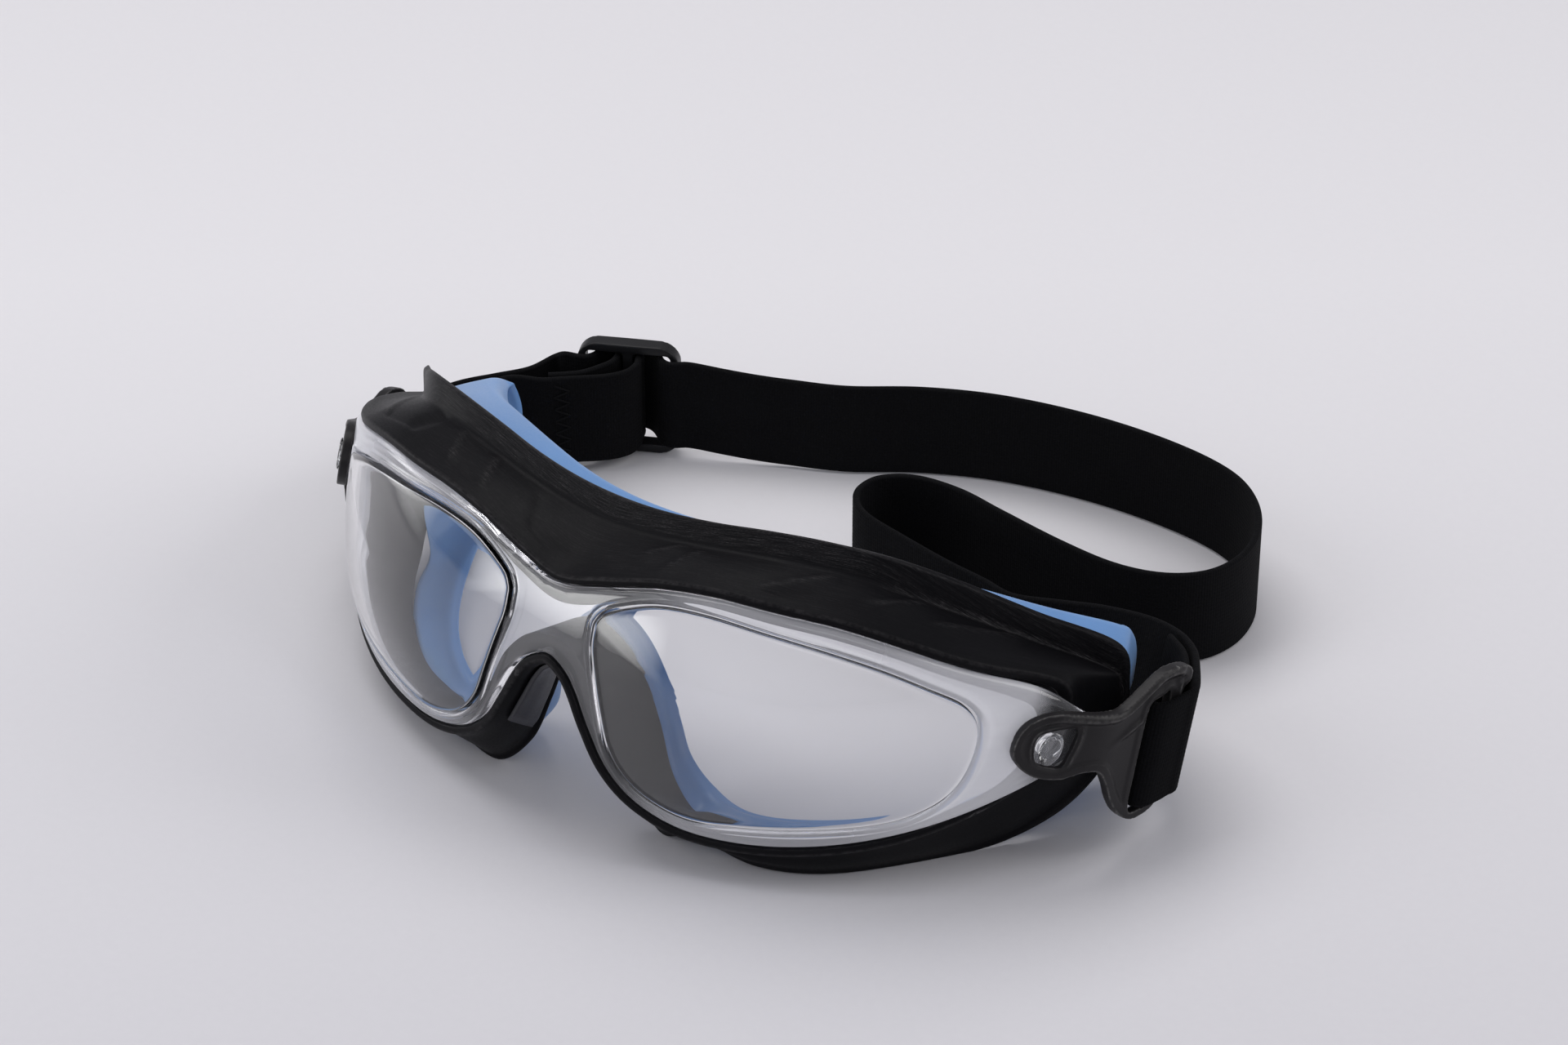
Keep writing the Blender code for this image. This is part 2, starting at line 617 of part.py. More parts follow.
def slider():
    """Flat plate with rounded corners, two strap slots and a centre bar."""
    centre_s = SLIDER_L / 2 - SLIDER_CORNER_R
    rim = rounded_box(-centre_s, centre_s, SLIDER_H / 2 - SLIDER_CORNER_R, SLIDER_CORNER_R, 6)
    slot = rounded_box(*SLOT_CENTRES, STRAP_W / 2 + SLOT_ROOM - SLOT_CORNER_R,
                       SLOT_CORNER_R, 3)
    slots = [[(sign * x, y) for x, y in slot] for sign in (1, -1)]
    return plate([rim] + slots,
                 lambda s, h, k: slider_point(s, (k - 0.5) * SLIDER_T, SLIDER_Z + h))


# ----------------------------------------------------------- elastic strap
STRAP_H = -7.6                    # height of the strap on a clip's face
JOINT = 0.3                       # gap between the fold and the run on the left
BAND_LIFT = 0.1                   # rise of the strap where it leaves the table

# Strap round a clip's rear bar, from the outer to the inner layer: s, out
BAR_WRAP = [(26.6, 2.1), (24.0, 2.1), (21.5, 1.7), (20.3, 0.0),
            (21.5, -1.7), (24.0, -2.1), (26.6, -2.15)]
LEFT_FOLD = [(28.9, 1.9), *BAR_WRAP, (28.3, -2.5)]
RIGHT_FOLD = [(34.0, 1.3), (31.6, 1.7), (29.4, 1.9), *BAR_WRAP,
              (29.4, -2.5), (31.6, -2.8), (34.0, -3.2)]

# Outer layer behind the left clip, which turns inwards behind the seal.  The
# sewn fold takes the first three points, the run to the table starts at the third.
LEFT_RUN = [(84.9, 64.7, -28.6), (81.0, 70.0, -29.4), (75.6, 74.2, -30.5),
            (68, 77.6, -32.2), (58, 79, -34.4), (49.5, 78.4, -36.0), (41, 77, FLAT_Z)]
FOLD_END = 2
# Inner layer of the fold, up to its cut end
LEFT_TAIL = [(83.2, 63.8, -28.6), (79.7, 68.6, -29.4), (74.8, 72.5, -30.5)]

# Plan of the band on the table, from the left run round to the feed: x, y
BAND = [(40.7, 76.97), (34, 78), (25, 79), (14, 81), (5, 83), (0.5, 86), (-1.5, 90),
        (-0.5, 95), (5, 99), (14, 100), (24, 98.5), (38, 96.5), (50, 96), (59, 98.5),
        (65, 104), (67, 112), (65, 121), (59, 129.5), (50, 135), (36, 137), (19, 136),
        (2, 132), (-12, 125.5), (-24, 117)]
# From the slider to the band
FEED = [slider_point(12.3, 1.98), (-45, 106.3, -35.4), (-39.5, 109.0, -36.0),
        (-34, 112.0, -36.5), (-24.3, 116.82, FLAT_Z + BAND_LIFT)]

# Half of the strap woven through the slider, from its centre bar: s, t
WEAVE_HALF = [(0, -4.1), (2.2, -3.95), (4.3, -2.6), (5.7, -0.4), (6.7, 1.4),
              (8.0, 2.4), (9.4, 2.5), (12, 2.0)]
# Strap end looped round the centre bar: s, t
END_LOOP = [(-14.5, 12.3), (-11, 11.4), (-7.6, 10.4), (-2.8, 9.0), (0.8, 6.6),
            (2.15, 3.6), (2.1, 1.2), (2.1, -1.0), (1.75, -2.3), (0, -2.5),
            (-1.75, -2.3), (-2.1, -1.0), (-2.1, 1.2), (-2.7, 3.4), (-4.6, 5.7),
            (-7.4, 8.2), (-10.6, 9.5), (-13.6, 10.3)]

# Zigzag thread
STITCH_TURNS = 12
STITCH_PITCH = 1.35               # step across the strap
STITCH_REACH = 1.5                # swing to each side
STITCH_HALF_W, STITCH_HALF_T = 0.6, 0.16


def ribbon(path, ups, steps=STEPS):
    """Strap of rectangular section along a smoothed path."""
    centres = smooth(path, steps)
    ups = smooth(ups, steps)
    tangents = np.gradient(centres, axis=0)
    rings = []
    for centre, up, tangent in zip(centres, ups, tangents):
        up = unit(up)
        across = unit(np.cross(unit(tangent), up))
        rings.append([lifted(centre + a * STRAP_W / 2 * up + b * STRAP_T / 2 * across, TABLE)
                      for a, b in ((1, 1), (1, -1), (-1, -1), (-1, 1))])
    return tube(rings)


def upright(path, steps=STEPS):
    return ribbon(path, [UP] * len(path), steps)


def straightening(path, side):
    """Strap that leans with a clip at its start and stands upright at its end."""
    return ribbon(path, [unit(blend(clip_up(side), np.array(UP), k))
                         for k in np.linspace(0, 1, len(path))])


def on_clip(stations, side):
    return [clip_point(s, STRAP_H, out, side) for s, out in stations]


def stitches(centre, along, up, face, lift):
    """One thread sewn in a zigzag across the strap, `lift` above its face."""
    offset = STRAP_T / 2 + lift
    rings = []
    for k in range(STITCH_TURNS + 1):
        sign = 1 if k % 2 else -1
        middle = (centre + along * sign * STITCH_REACH
                  + up * (k - STITCH_TURNS / 2) * STITCH_PITCH + face * offset)
        rings.append([middle + along * a * STITCH_HALF_W + face * b * STITCH_HALF_T
                      for a, b in ((1, 1), (1, -1), (-1, -1), (-1, 1))])
    return tube(rings)


# ------------------------------------------------------------------- build
def build_front():
    """Clear front with its studs joined on, and the lenses."""
    front = add_object("front_frame", clear_front(), "clear")
    for side, word in ((1, "left"), (-1, "right")):
        peg = add_object("stud_" + word, stud(side), "clear")
        peg.hide_render = True
        peg.display_type = "WIRE"
        union = front.modifiers.new("stud_" + word, "BOOLEAN")
        union.operation = "UNION"
        union.solver = "EXACT"
        union.object = peg
        add_object("lens_" + word, lens(side), "clear")


def build_left_strap():
    path = LEFT_RUN[FOLD_END::-1] + on_clip(LEFT_FOLD, 1) + LEFT_TAIL
    add_object("strap_fold_left", ribbon(path, [CLIP_UP] * len(path)), "elastic", pivot(1))

    run = np.array(LEFT_RUN[FOLD_END:], float)
    run[0] += JOINT * unit(run[1] - run[0])
    add_object("strap_run_left", straightening(run, 1), "elastic")

    start, end = np.array(LEFT_RUN[1]), np.array(LEFT_RUN[FOLD_END])
    along = unit(end - start)
    face = unit(np.cross(along, CLIP_UP))
    seam = stitches(blend(start, end, 0.55), along, unit(np.cross(face, along)), face, lift=0.35)
    add_object("stitching_left", seam, "thread", pivot(1))


def build_band():
    band = [(x, y, FLAT_Z) for x, y in BAND[:-1]] + [(*BAND[-1], FLAT_Z + BAND_LIFT)]
    add_object("strap_band", upright(band, steps=2), "elastic")
    add_object("strap_feed", upright(FEED), "elastic")


def build_slider():
    """Slider with the woven strap, the looped strap end and its seam."""
    centre = slider_point(0, 0)
    add_object("slider", slider(), "slider_plastic", centre)
    weave = [(-s, t) for s, t in WEAVE_HALF[:0:-1]] + WEAVE_HALF
    for name, path in (("strap_weave", weave), ("strap_end_loop", END_LOOP)):
        points = [slider_point(s, t) for s, t in path]
        add_object(name, upright(points, steps=2), "elastic", centre)

    dx, dy = SLIDER_DIR
    # the seam follows the outer layer of the loop: 3.5 in s, -0.95 in t
    along = unit(3.5 * unit((dx, dy, 0)) - 0.95 * unit((dy, -dx, 0)))
    seam = stitches(np.array(slider_point(-10.9, 11.38)), along, np.array(UP),
                    unit(np.cross(along, UP)), lift=0.3)
    add_object("stitching_slider", seam, "thread", centre)


def build_right_strap():
    """Fold at the right clip; both layers run back to the slider."""
    path = on_clip(RIGHT_FOLD, -1)
    add_object("strap_fold_right", ribbon(path, [clip_up(-1)] * len(path)), "elastic", pivot(-1))

    x, y, z = clip_point(34.0, STRAP_H, 1.3, -1)
    outer = [clip_point(34.35, STRAP_H, 1.28, -1), (x + 1.4, y + 5.5, z + 0.1),
             (-84.4, 73.0, blend(z, FLAT_Z, 0.4)), (-80.6, 79.2, blend(z, FLAT_Z, 0.7)),
             (-76.9, 85.4, FLAT_Z + 0.1), slider_point(-14.6, 2.3, FLAT_Z + 1.0),
             slider_point(-12.3, 2.05)]
    add_object("strap_outer_right", straightening(outer, -1), "elastic")

    leaving = clip_point(36.2, STRAP_H, -4.2, -1)
    inner = [clip_point(34.3, STRAP_H, -3.3, -1), leaving,
             (-80.2, 72.6, blend(leaving[2], SLIDER_Z, 0.3)), (-75.8, 77.8, SLIDER_Z),
             slider_point(-14.8, 12.38)]
    add_object("strap_return_right", straightening(inner, -1), "elastic")


for old in list(bpy.data.objects):
    bpy.data.objects.remove(old, do_unlink=True)

build_front()
add_object("seal_carrier", carrier(), "black_rubber")
add_object("nose_pad", nose_pad(), "nose_rubber")
add_object("face_seal", face_seal(), "blue_seal")
add_object("clip_left", clip(1), "black_plastic", pivot(1))
add_object("clip_right", clip(-1), "black_plastic", pivot(-1))
build_left_strap()
build_band()
build_slider()
build_right_strap()
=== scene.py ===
"""Safety goggles with a clear front, a black carrier, a blue face seal and an elastic strap.

Units in the tables are millimetres in the goggles' own frame (+X wearer's
left, +Y back to the face, +Z up, origin at the middle of the clear front's
top edge); world() turns them into metres on the table plane.
"""

import math

import bmesh
import bpy
import numpy as np
from mathutils import Matrix, Vector

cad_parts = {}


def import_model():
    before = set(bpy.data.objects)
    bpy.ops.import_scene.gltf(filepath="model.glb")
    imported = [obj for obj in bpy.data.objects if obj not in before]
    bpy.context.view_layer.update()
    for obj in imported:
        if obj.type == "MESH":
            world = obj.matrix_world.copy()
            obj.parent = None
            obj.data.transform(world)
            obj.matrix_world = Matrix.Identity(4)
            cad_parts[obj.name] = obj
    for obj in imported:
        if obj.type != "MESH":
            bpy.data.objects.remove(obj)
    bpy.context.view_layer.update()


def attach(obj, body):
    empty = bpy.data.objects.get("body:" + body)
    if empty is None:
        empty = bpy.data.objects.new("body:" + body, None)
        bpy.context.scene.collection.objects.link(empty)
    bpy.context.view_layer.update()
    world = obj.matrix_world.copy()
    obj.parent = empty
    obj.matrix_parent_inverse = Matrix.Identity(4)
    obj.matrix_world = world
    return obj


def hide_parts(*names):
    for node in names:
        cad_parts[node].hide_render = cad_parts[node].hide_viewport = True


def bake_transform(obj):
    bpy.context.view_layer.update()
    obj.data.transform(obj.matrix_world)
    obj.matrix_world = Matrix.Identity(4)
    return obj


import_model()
FINE = 12              # mesh steps between two neighbouring control points

# ----------------------------------------------------------- driving sizes
SIZE = 1.04            # overall size factor, set by the 20 mm strap
TABLE = -46.5          # height of the table plane
ORIGIN = (-0.6607, 66.1009)  # plan point that becomes the origin: the middle of the whole object
FRONT_T = 2.2          # thickness of the clear front
LENS_T = 1.8           # thickness of a lens
LENS_CENTRE = np.array((37.0, -16.5))
LENS_DOME = 1.5        # rise of the lens dome
LENS_PROUD = 0.5       # a lens rim stands this far before the clear front
GAP = 0.32             # gap between neighbouring pieces
RIM_W = 1.5            # width of the carrier's rim round the clear front
FLANGE_T = 1.6         # thickness of the standing flange on the brow
FOOT_RISE = 0.7        # the carrier's lower edge is cut level this near the table
SEAL_T = 1.7           # wall of the face seal
SEAL_EASE = 3.5        # extra room, in gaps, where the seal rounds the lower corner
SEAL_LIFT = 0.6        # the seal stays this far above the table
LIP_W = 5.0            # width of the seal's inturned lip
PAD_T = 1.2            # wall of the nose pad
STRAP_W = 19.2         # width of the elastic strap
STRAP_T = 1.3          # thickness of the elastic strap
CLIP_T = 1.8           # thickness of a strap clip
PIVOT = (-1.2, 0.8)    # stud centre on the clip's own face: along, up
SLIDER_L = 20.0        # length of the slider along the strap
SLIDER_H = 23.6        # height of the slider across the strap
SLIDER_T = 3.0         # thickness of the slider
SLIDER_R = 4.0         # corner radius of the slider

# curvature of the clear front: wrap, wrap to the fourth power, lean, lean
# squared and twist, over WRAP_SPAN sideways and LEAN_SPAN up
WRAP2, WRAP4, LEAN, LEAN2, TWIST = 20.3, 12.0, 7.5, 2.4, 0.5
WRAP_SPAN, LEAN_SPAN = 70.0, 20.0

# Outlines as (x, z) or (x, y, z). All but EYE run from the middle of the top
# edge, round the wearer's left ear, along the cheek to the middle of the nose arch.
OUTER = [(0, 0.2), (9.5, 2.2), (19, 4.4), (28.5, 5.1), (38, 4.3), (48, 2.7),
         (57, -0.5), (66.5, -5.5), (74, -10.0), (77, -14.0), (76.5, -21),
         (74.5, -27), (70, -31.3), (61, -35), (50, -37.6), (38, -38.8),
         (27.3, -38.2), (19, -35), (13.5, -30), (9.5, -23), (6.5, -17.2),
         (3.8, -14), (0, -12.3)]
# points of OUTER that the clear front pushes out into a tab at the ear
EAR_TAB = {9: (78.2, -14.8), 10: (81.2, -20.5), 11: (77.8, -26.2)}
# closed opening for the left lens
EYE = [(9, -3.2), (11.3, -0.8), (19, 2.1), (28, 2.6), (38, 1.3), (47.5, -0.8),
       (56.1, -4), (63.5, -8.4), (66.9, -11.3), (68.6, -15), (68.6, -20),
       (67.2, -25.5), (64.3, -29.7), (59, -32.5), (49.5, -34), (38, -35.1),
       (29, -35.5), (22.5, -33.7), (17.5, -30.5), (14, -25.7), (12, -19.5),
       (10.6, -14.5), (9.6, -11), (8.9, -8.3), (8.7, -5.6)]
# inner edge of the carrier behind the clear front
SEAT = [(0, -3.2), (9.5, -0.9), (19, 2.0), (28.5, 3.0), (38, 2.3), (47.7, 0.7),
        (56.6, -2.4), (65.2, -7.1), (72.0, -11.6), (74.8, -15.2), (74.6, -21),
        (72.8, -26.3), (68.7, -30.1), (60.3, -33.7), (49.8, -36.2), (38, -37.0),
        (28.0, -36.6), (21.5, -33.8), (16.5, -29.5), (12.8, -22.5), (9.8, -16),
        (5.4, -11), (0, -9.3)]
# rear edge of the brow, where the flange stands up
CREASE = [(0, 14.1, 5.4), (9.5, 14.5, 5.7), (19, 15.9, 6.4), (28.5, 17.9, 7.1),
          (38.2, 20.8, 7.2), (47.7, 25.3, 5.3), (57.3, 33.6, -0.6),
          (66.6, 44.2, -8.7), (75.8, 54.4, -16.5), (77.1, 56, -20.5),
          (77, 55.8, -27), (75.3, 51.5, -35), (71, 43.5, -42.2),
          (64, 31, -45.2), (50, 13, -45.3), (38, 5.0, -44.4), (27, 2.4, -41.8),
          (18.3, 3.5, -45), (12.4, 5.5, -40), (9.3, 7.5, -31), (6.8, 8.5, -23),
          (3.9, 9, -18), (0, 9, -16)]
# free edge of the flange
FLANGE = [(0, 16.6, 9.1), (9.5, 17.2, 9.3), (19, 18.7, 9.9), (28.4, 21, 10.7),
          (37.9, 23.7, 10.9), (47.4, 27.1, 9.7), (56.9, 34.3, 4.4),
          (66.4, 44.7, -4.0), (75.9, 54.7, -11.8), (77.7, 56.5, -19.5),
          (78.1, 56.2, -27), (76.5, 51.9, -35.8), (71.8, 44.0, -43.4),
          (64.1, 31.5, -46.5), (50, 13.5, -46.5), (38, 5.5, -45.8),
          (27, 3.0, -43.1), (17.9, 4.1, -46.5), (11.6, 6.2, -40.6),
          (8.4, 8.2, -31.4), (6.0, 9.2, -23.6), (3.4, 9.7, -18.9), (0, 9.7, -17)]
# rear outer edge of the face seal
SEAL_REAR = [(0, 26.5, 2.9), (9, 27.5, 2.6), (18, 30.2, 1.8), (27, 34.2, 0.6),
             (35.5, 38.8, -1.2), (44, 44, -3.6), (52.5, 50, -6.8),
             (60.7, 57.6, -11.2), (68.6, 67.3, -16.8), (70.4, 70.8, -20.6),
             (70.2, 72.3, -27), (69.5, 70.5, -33.5), (66, 61.5, -40),
             (59, 45, -44.8), (49, 29.8, -45.7), (38, 20.0, -45.9),
             (28, 15.6, -45.9), (19.2, 16.5, -44.5), (14.0, 16.5, -39.6),
             (12.1, 15.9, -32), (9.3, 16.0, -24.3), (5.0, 16.6, -18.6), (0, 17, -16.3)]
# one value at each control point: share of the lip's full width, backward
# shift of the carrier's inner wall, thickness of that wall, backward shift
# of the carrier's rear base and of its rim
LIP_PART = [1, 1, 1, 1, 1, 1, 0.95, 0.8, 0.6, 0.5, 0.5, 0.45, 0.4, 0.3, 0.3, 0.3,
            0.3, 0.3, 0.28, 0.28, 0.3, 0.3, 0.3]
WALL_BACK = [0, 0, 0, 0, 0, 0, 0, 0, 0, -1.5, -4, -6, -2.5, 0, 3.7, 6.3, 4.0, 3.6,
             3.6, 3.6, 2.5, 1.2, 0.8]
WALL_T = [3.2, 3.2, 3.2, 3.2, 3.2, 3.2, 3.2, 3.2, 3.2, 3.2, 3.2, 3.2, 3.2, 3.2,
          3.2, 3.0, 2.6, 4.8, 4.4, 3.4, 3.2, 3.2, 3.2]
BASE_BACK = [0, 0, 0, 0, 0, 0, 0, 0, 0, 0, 0, 0, 0, 0, 3.7, 6.3, 3.6, 2.6,
             1.0, 0.6, 0.4, 0.2, 0]
RIM_BACK = [0, 0, 0, 0, 0, 0, 0, 0.2, 1.6, 2.5, 2.6, 2.5, 1.6, 0.3, 0, 0, 0, 0,
            0, 0, 0, 0, 0]

# strap clip, drawn flat on its own face: (along the arm, up)
CLIP_AT = (77.75, 34.5, -21.0)
CLIP_TURN = (55.4, 79.0)          # plan heading of the head and of the arm, degrees
CLIP_BEND = (4.0, 9.0)            # where the heading starts to turn, and over what length
CLIP_UP = np.array((0.0, 0.31, 0.95))
RIGHT_DROP = 17.0                 # the right clip is turned down by this many degrees
CLIP_EDGE = [(-8, 2.2), (-7.4, 4.6), (-5.8, 6.2), (-3, 6.9), (0, 6.8),
             (3.7, 5.9), (8.7, 4.7), (11.5, 4.3), (14.3, 5.0), (17.3, 6.3),
             (20.3, 7.4), (23.5, 7.3), (26.8, 6.2), (28.4, 4.6), (28.3, 2.8),
             (26.8, 1.6), (26.8, -3), (26.8, -9), (26.8, -15), (26.0, -18.6),
             (23.2, -19.7), (19.8, -19.2), (16.2, -16.6), (13.4, -13),
             (11.2, -9), (8.9, -6), (5.8, -5.2), (1.8, -5.5), (-2.4, -4.4),
             (-4.9, -2.9), (-6.7, -1.2), (-7.8, 0.5)]
CLIP_WINDOW = [(-3.6, 3.2), (-1.5, 3.6), (1.5, 3.6), (3.4, 3.1), (3.5, 1.0),
               (2.8, -1.4), (1.8, -3.4), (-0.6, -2.9), (-3.1, -1.6), (-3.95, 1.0)]
CLIP_SLOT = [(19.1, 2.5), (21.5, 2.8), (23.5, 2.6), (23.6, -4), (23.6, -11),
             (23.5, -17.8), (21.8, -18.1), (19.4, -17.7), (18.5, -15.4), (18.3, -11.3),
             (18.3, -6.5), (18.3, -2.8), (18.4, 0.6)]
STRAP_H = -7.6                    # height of the strap on the clip's face

# plan of the elastic strap on the table, from the left clip round to the slider
BAND = [(41, 77), (34, 78), (25, 79), (14, 81), (5, 83), (0.5, 86), (-1.5, 90),
        (-0.5, 95), (5, 99), (14, 100), (24, 98.5), (38, 96.5), (50, 96),
        (59, 98.5), (65, 104), (67, 112), (65, 121), (59, 129.5), (50, 135),
        (36, 137), (19, 136), (2, 132), (-12, 125.5), (-24, 117), (-34, 112)]
SLIDER_AT = (-63.1, 99.7)
SLIDER_DIR = (0.894, 0.447)
UP = np.array((0.0, 0.0, 1.0))
FLAT_Z = TABLE + STRAP_W / 2      # middle height of the strap on the table
SLIDER_Z = TABLE + SLIDER_H / 2

# strap from the left clip's bar to the table, and the sewn tail beside it
LEFT_RUN = [(84.9, 64.7, -28.6), (81.0, 70.0, -29.4), (75.6, 74.2, -30.5),
            (68, 77.6, -32.2), (58, 79, -34.4), (49.5, 78.4, -36.0), (*BAND[0], FLAT_Z)]
LEFT_TAIL = [(83.2, 63.8, -28.6), (79.7, 68.6, -29.4), (74.8, 72.5, -30.5)]
# strap in the slider, (along, through the thickness): one end woven from the
# middle outwards, the other looped round the centre bar
WEAVE = [(0, -4.1), (2.2, -3.95), (4.3, -2.6), (5.7, -0.4), (6.7, 1.4), (8.0, 2.4), (9.4, 2.5)]
LOOP = [(-11, 11.4), (-7.6, 10.4), (-2.8, 9.0), (0.8, 6.6), (2.15, 3.6), (2.1, 1.2),
        (2.1, -1.0), (1.75, -2.3), (0, -2.5), (-1.75, -2.3), (-2.1, -1.0), (-2.1, 1.2),
        (-2.7, 3.4), (-4.6, 5.7), (-7.4, 8.2), (-10.6, 9.5), (-13.6, 10.3)]

# moulded feather folds: side (1 wearer's left, -1 right), station and share of
# the brow's width at each end, relief in mm (below zero for a valley), softness
# of the slow slope
FEATHERS = [
    (-1, 6.0, 0.10, 6.4, 0.95, 0.30, 2.0),
    (-1, 6.2, 0.12, 4.8, 0.30, -0.35, 1.4),
    (-1, 4.8, 0.25, 4.3, 0.98, -0.50, 1.6),
    (-1, 3.4, 0.20, 3.7, 0.98, 0.35, 2.2),
    (-1, 3.3, 0.15, 2.5, 0.05, -0.25, 1.2),
    (-1, 2.4, 0.15, 2.7, 0.92, 0.30, 2.0),
    (-1, 1.4, 0.75, 1.1, 0.18, -0.25, 1.6),
    (-1, 1.1, 0.18, 0.2, 0.10, -0.22, 1.4),
    (1, 1.2, 0.45, 1.7, 0.90, 0.28, 2.2),
    (1, 1.9, 0.10, 2.1, 0.85, 0.25, 2.2),
    (1, 3.6, 0.15, 4.4, 0.88, 0.35, 2.6),
    (1, 5.2, 0.45, 5.7, 0.90, 0.38, 2.2),
    (1, 6.1, 0.45, 6.9, 0.92, 0.45, 2.0),
]
FOLD_PITCH, FOLD_RISE = 8.5, 9.0  # mm to a station and to the brow's full width
FLOW_PITCH = 9.0                  # mm to a station in the "flow" attribute


# ---------------------------------------------------------------- helpers
def world(p):
    return Vector((p[0] - ORIGIN[0], p[1] - ORIGIN[1], p[2] - TABLE)) * SIZE * 0.001


def worlds(points):
    return (np.asarray(points, float) - (*ORIGIN, TABLE)) * SIZE * 0.001


def unit(vector):
    vector = np.asarray(vector, float)
    return vector / max(np.linalg.norm(vector), 1e-9)


def smooth(points, steps, closed=False, mirrored=False):
    """Catmull-Rom curve through control points, `steps` pieces to a span."""
    p = np.asarray(points, float)
    if p.ndim == 1:
        p = p[:, None]
    spans = len(p) - 1
    if closed:
        ends = np.vstack([p[-1:], p, p[:2]])
        spans = len(p)
    elif mirrored:
        flip = np.ones(p.shape[1])
        flip[0] = -1
        ends = np.vstack([p[1] * flip, p, p[-2] * flip])
    else:
        ends = np.vstack([2 * p[0] - p[1], p, 2 * p[-1] - p[-2]])
    out = []
    for i in range(spans):
        a, b, c, d = ends[i:i + 4]
        for k in range(steps):
            t = k / steps
            out.append(0.5 * (2 * b + (c - a) * t + (2 * a - 5 * b + 4 * c - d) * t * t
                              + (3 * b - 3 * c + d - a) * t ** 3))
    if not closed:
        out.append(ends[spans + 1])
    return np.array(out)


def step(x, start, end):
    """Eased rise from 0 at start to 1 at end."""
    k = min(max((x - start) / (end - start), 0.0), 1.0)
    return k * k * (3 - 2 * k)


def close(loop):
    return np.vstack([loop, loop[:1]])


# -------------------------------------------------------- mesh building
def add_piece(name, shape, material, replaces, ride=None, sharp=60.0, weld=False):
    """A piece from (points, faces) or (points, faces, flow); it hides the parts it replaces and
    rides the body named by ride, if any.
    """
    points, faces, *flow = shape
    mesh = bpy.data.meshes.new(name)
    mesh.from_pydata([tuple(p) for p in worlds(points)], [], faces)
    bm = bmesh.new()
    bm.from_mesh(mesh)
    if weld:
        bmesh.ops.remove_doubles(bm, verts=bm.verts, dist=2e-6)
        bmesh.ops.dissolve_degenerate(bm, edges=bm.edges, dist=1e-6)
    bmesh.ops.recalc_face_normals(bm, faces=bm.faces)
    bm.to_mesh(mesh)
    bm.free()
    if flow:
        layer = mesh.attributes.new("flow", "FLOAT_VECTOR", "POINT")
        layer.data.foreach_set("vector", np.asarray(flow[0], np.float32).ravel())
    mesh.shade_smooth()
    if sharp is not None:
        mesh.set_sharp_from_angle(angle=math.radians(sharp))
    mesh.materials.append(material)
    piece = bpy.data.objects.new(name, mesh)
    bpy.context.scene.collection.objects.link(piece)
    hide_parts(*replaces)
    if ride:
        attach(piece, ride)
    return piece


def flatten(rows):
    return [item for row in rows for item in row]


def ring_mesh(rings, closed=True, caps=False):
    """Points and faces of a skin over equal rings."""
    n, m = len(rings), len(rings[0])
    faces = []
    for i in range(n if closed else n - 1):
        j = (i + 1) % n
        for k in range(m):
            l = (k + 1) % m
            faces.append((i * m + k, j * m + k, j * m + l, i * m + l))
    if caps:
        faces.append(tuple(range(m)))
        faces.append(tuple(reversed(range((n - 1) * m, n * m))))
    return flatten(rings), faces


def mirror(ring):
    return [(-x, y, z) for x, y, z in ring]


def rounded(corners, radii, arcs, cuts):
    """Closed section with rounded corners and extra points per side.

    Each point's tag is its corner's index, or the index plus a half on a side.
    """
    count = len(corners)
    lengths = [np.linalg.norm(corners[(i + 1) % count] - corners[i]) for i in range(count)]
    out, tags = [], []
    for i in range(count):
        p, before, after = corners[i], corners[i - 1], corners[(i + 1) % count]
        length_in, length_out = lengths[i - 1], lengths[i]
        start = p + (before - p) * (min(radii[i], 0.45 * length_in) / max(length_in, 1e-9))
        end = p + (after - p) * (min(radii[i], 0.45 * length_out) / max(length_out, 1e-9))
        for k in range(arcs + 1):
            t = k / arcs
            out.append((1 - t) ** 2 * start + 2 * t * (1 - t) * p + t * t * end)
            tags.append(i)
        radius = min(radii[(i + 1) % count], 0.45 * length_out)
        finish = after + (p - after) * (radius / max(length_out, 1e-9))
        for k in range(1, cuts[i] + 1):
            t = k / (cuts[i] + 1)
            out.append(end + (finish - end) * t)
            tags.append(i + 0.5)
    return out, tags


def outward_2d(line):
    """Unit normals that point away from the eyes, along a half outline."""
    extended = np.vstack([line[1] * (-1, 1), line, line[-2] * (-1, 1)])
    tangent = extended[2:] - extended[:-2]
    normal = np.stack([-tangent[:, 1], tangent[:, 0]], 1)
    normal /= np.maximum(np.linalg.norm(normal, axis=1), 1e-9)[:, None]
    normal[0], normal[-1] = (0, 1), (0, -1)
    return normal


def on_table(p):
    return np.array((p[0], p[1], max(p[2], TABLE)))


def front_point(x, z, depth):
    """Point under the clear front's outer face, `depth` behind it."""
    u, v = x / WRAP_SPAN, z / LEAN_SPAN
    y = WRAP2 * u * u + WRAP4 * u ** 4 + LEAN * v + LEAN2 * v * v + TWIST * u * u * v
    slope_x = (2 * WRAP2 * u + 4 * WRAP4 * u ** 3 + 2 * TWIST * u * v) / WRAP_SPAN
    slope_z = (LEAN + 2 * LEAN2 * v + TWIST * u * u) / LEAN_SPAN
    return np.array((x, y, z)) - depth * unit((slope_x, -1.0, slope_z))


# ------------------------------------------------------------- materials
def math_node(tree, operation, *values):
    node = tree.nodes.new("ShaderNodeMath")
    node.operation = operation
    for value, socket in zip(values, node.inputs):
        if isinstance(value, float):
            socket.default_value = value
        else:
            tree.links.new(value, socket)
    return node.outputs[0]


def scaled(colour, factor):
    return tuple(c * factor for c in colour)


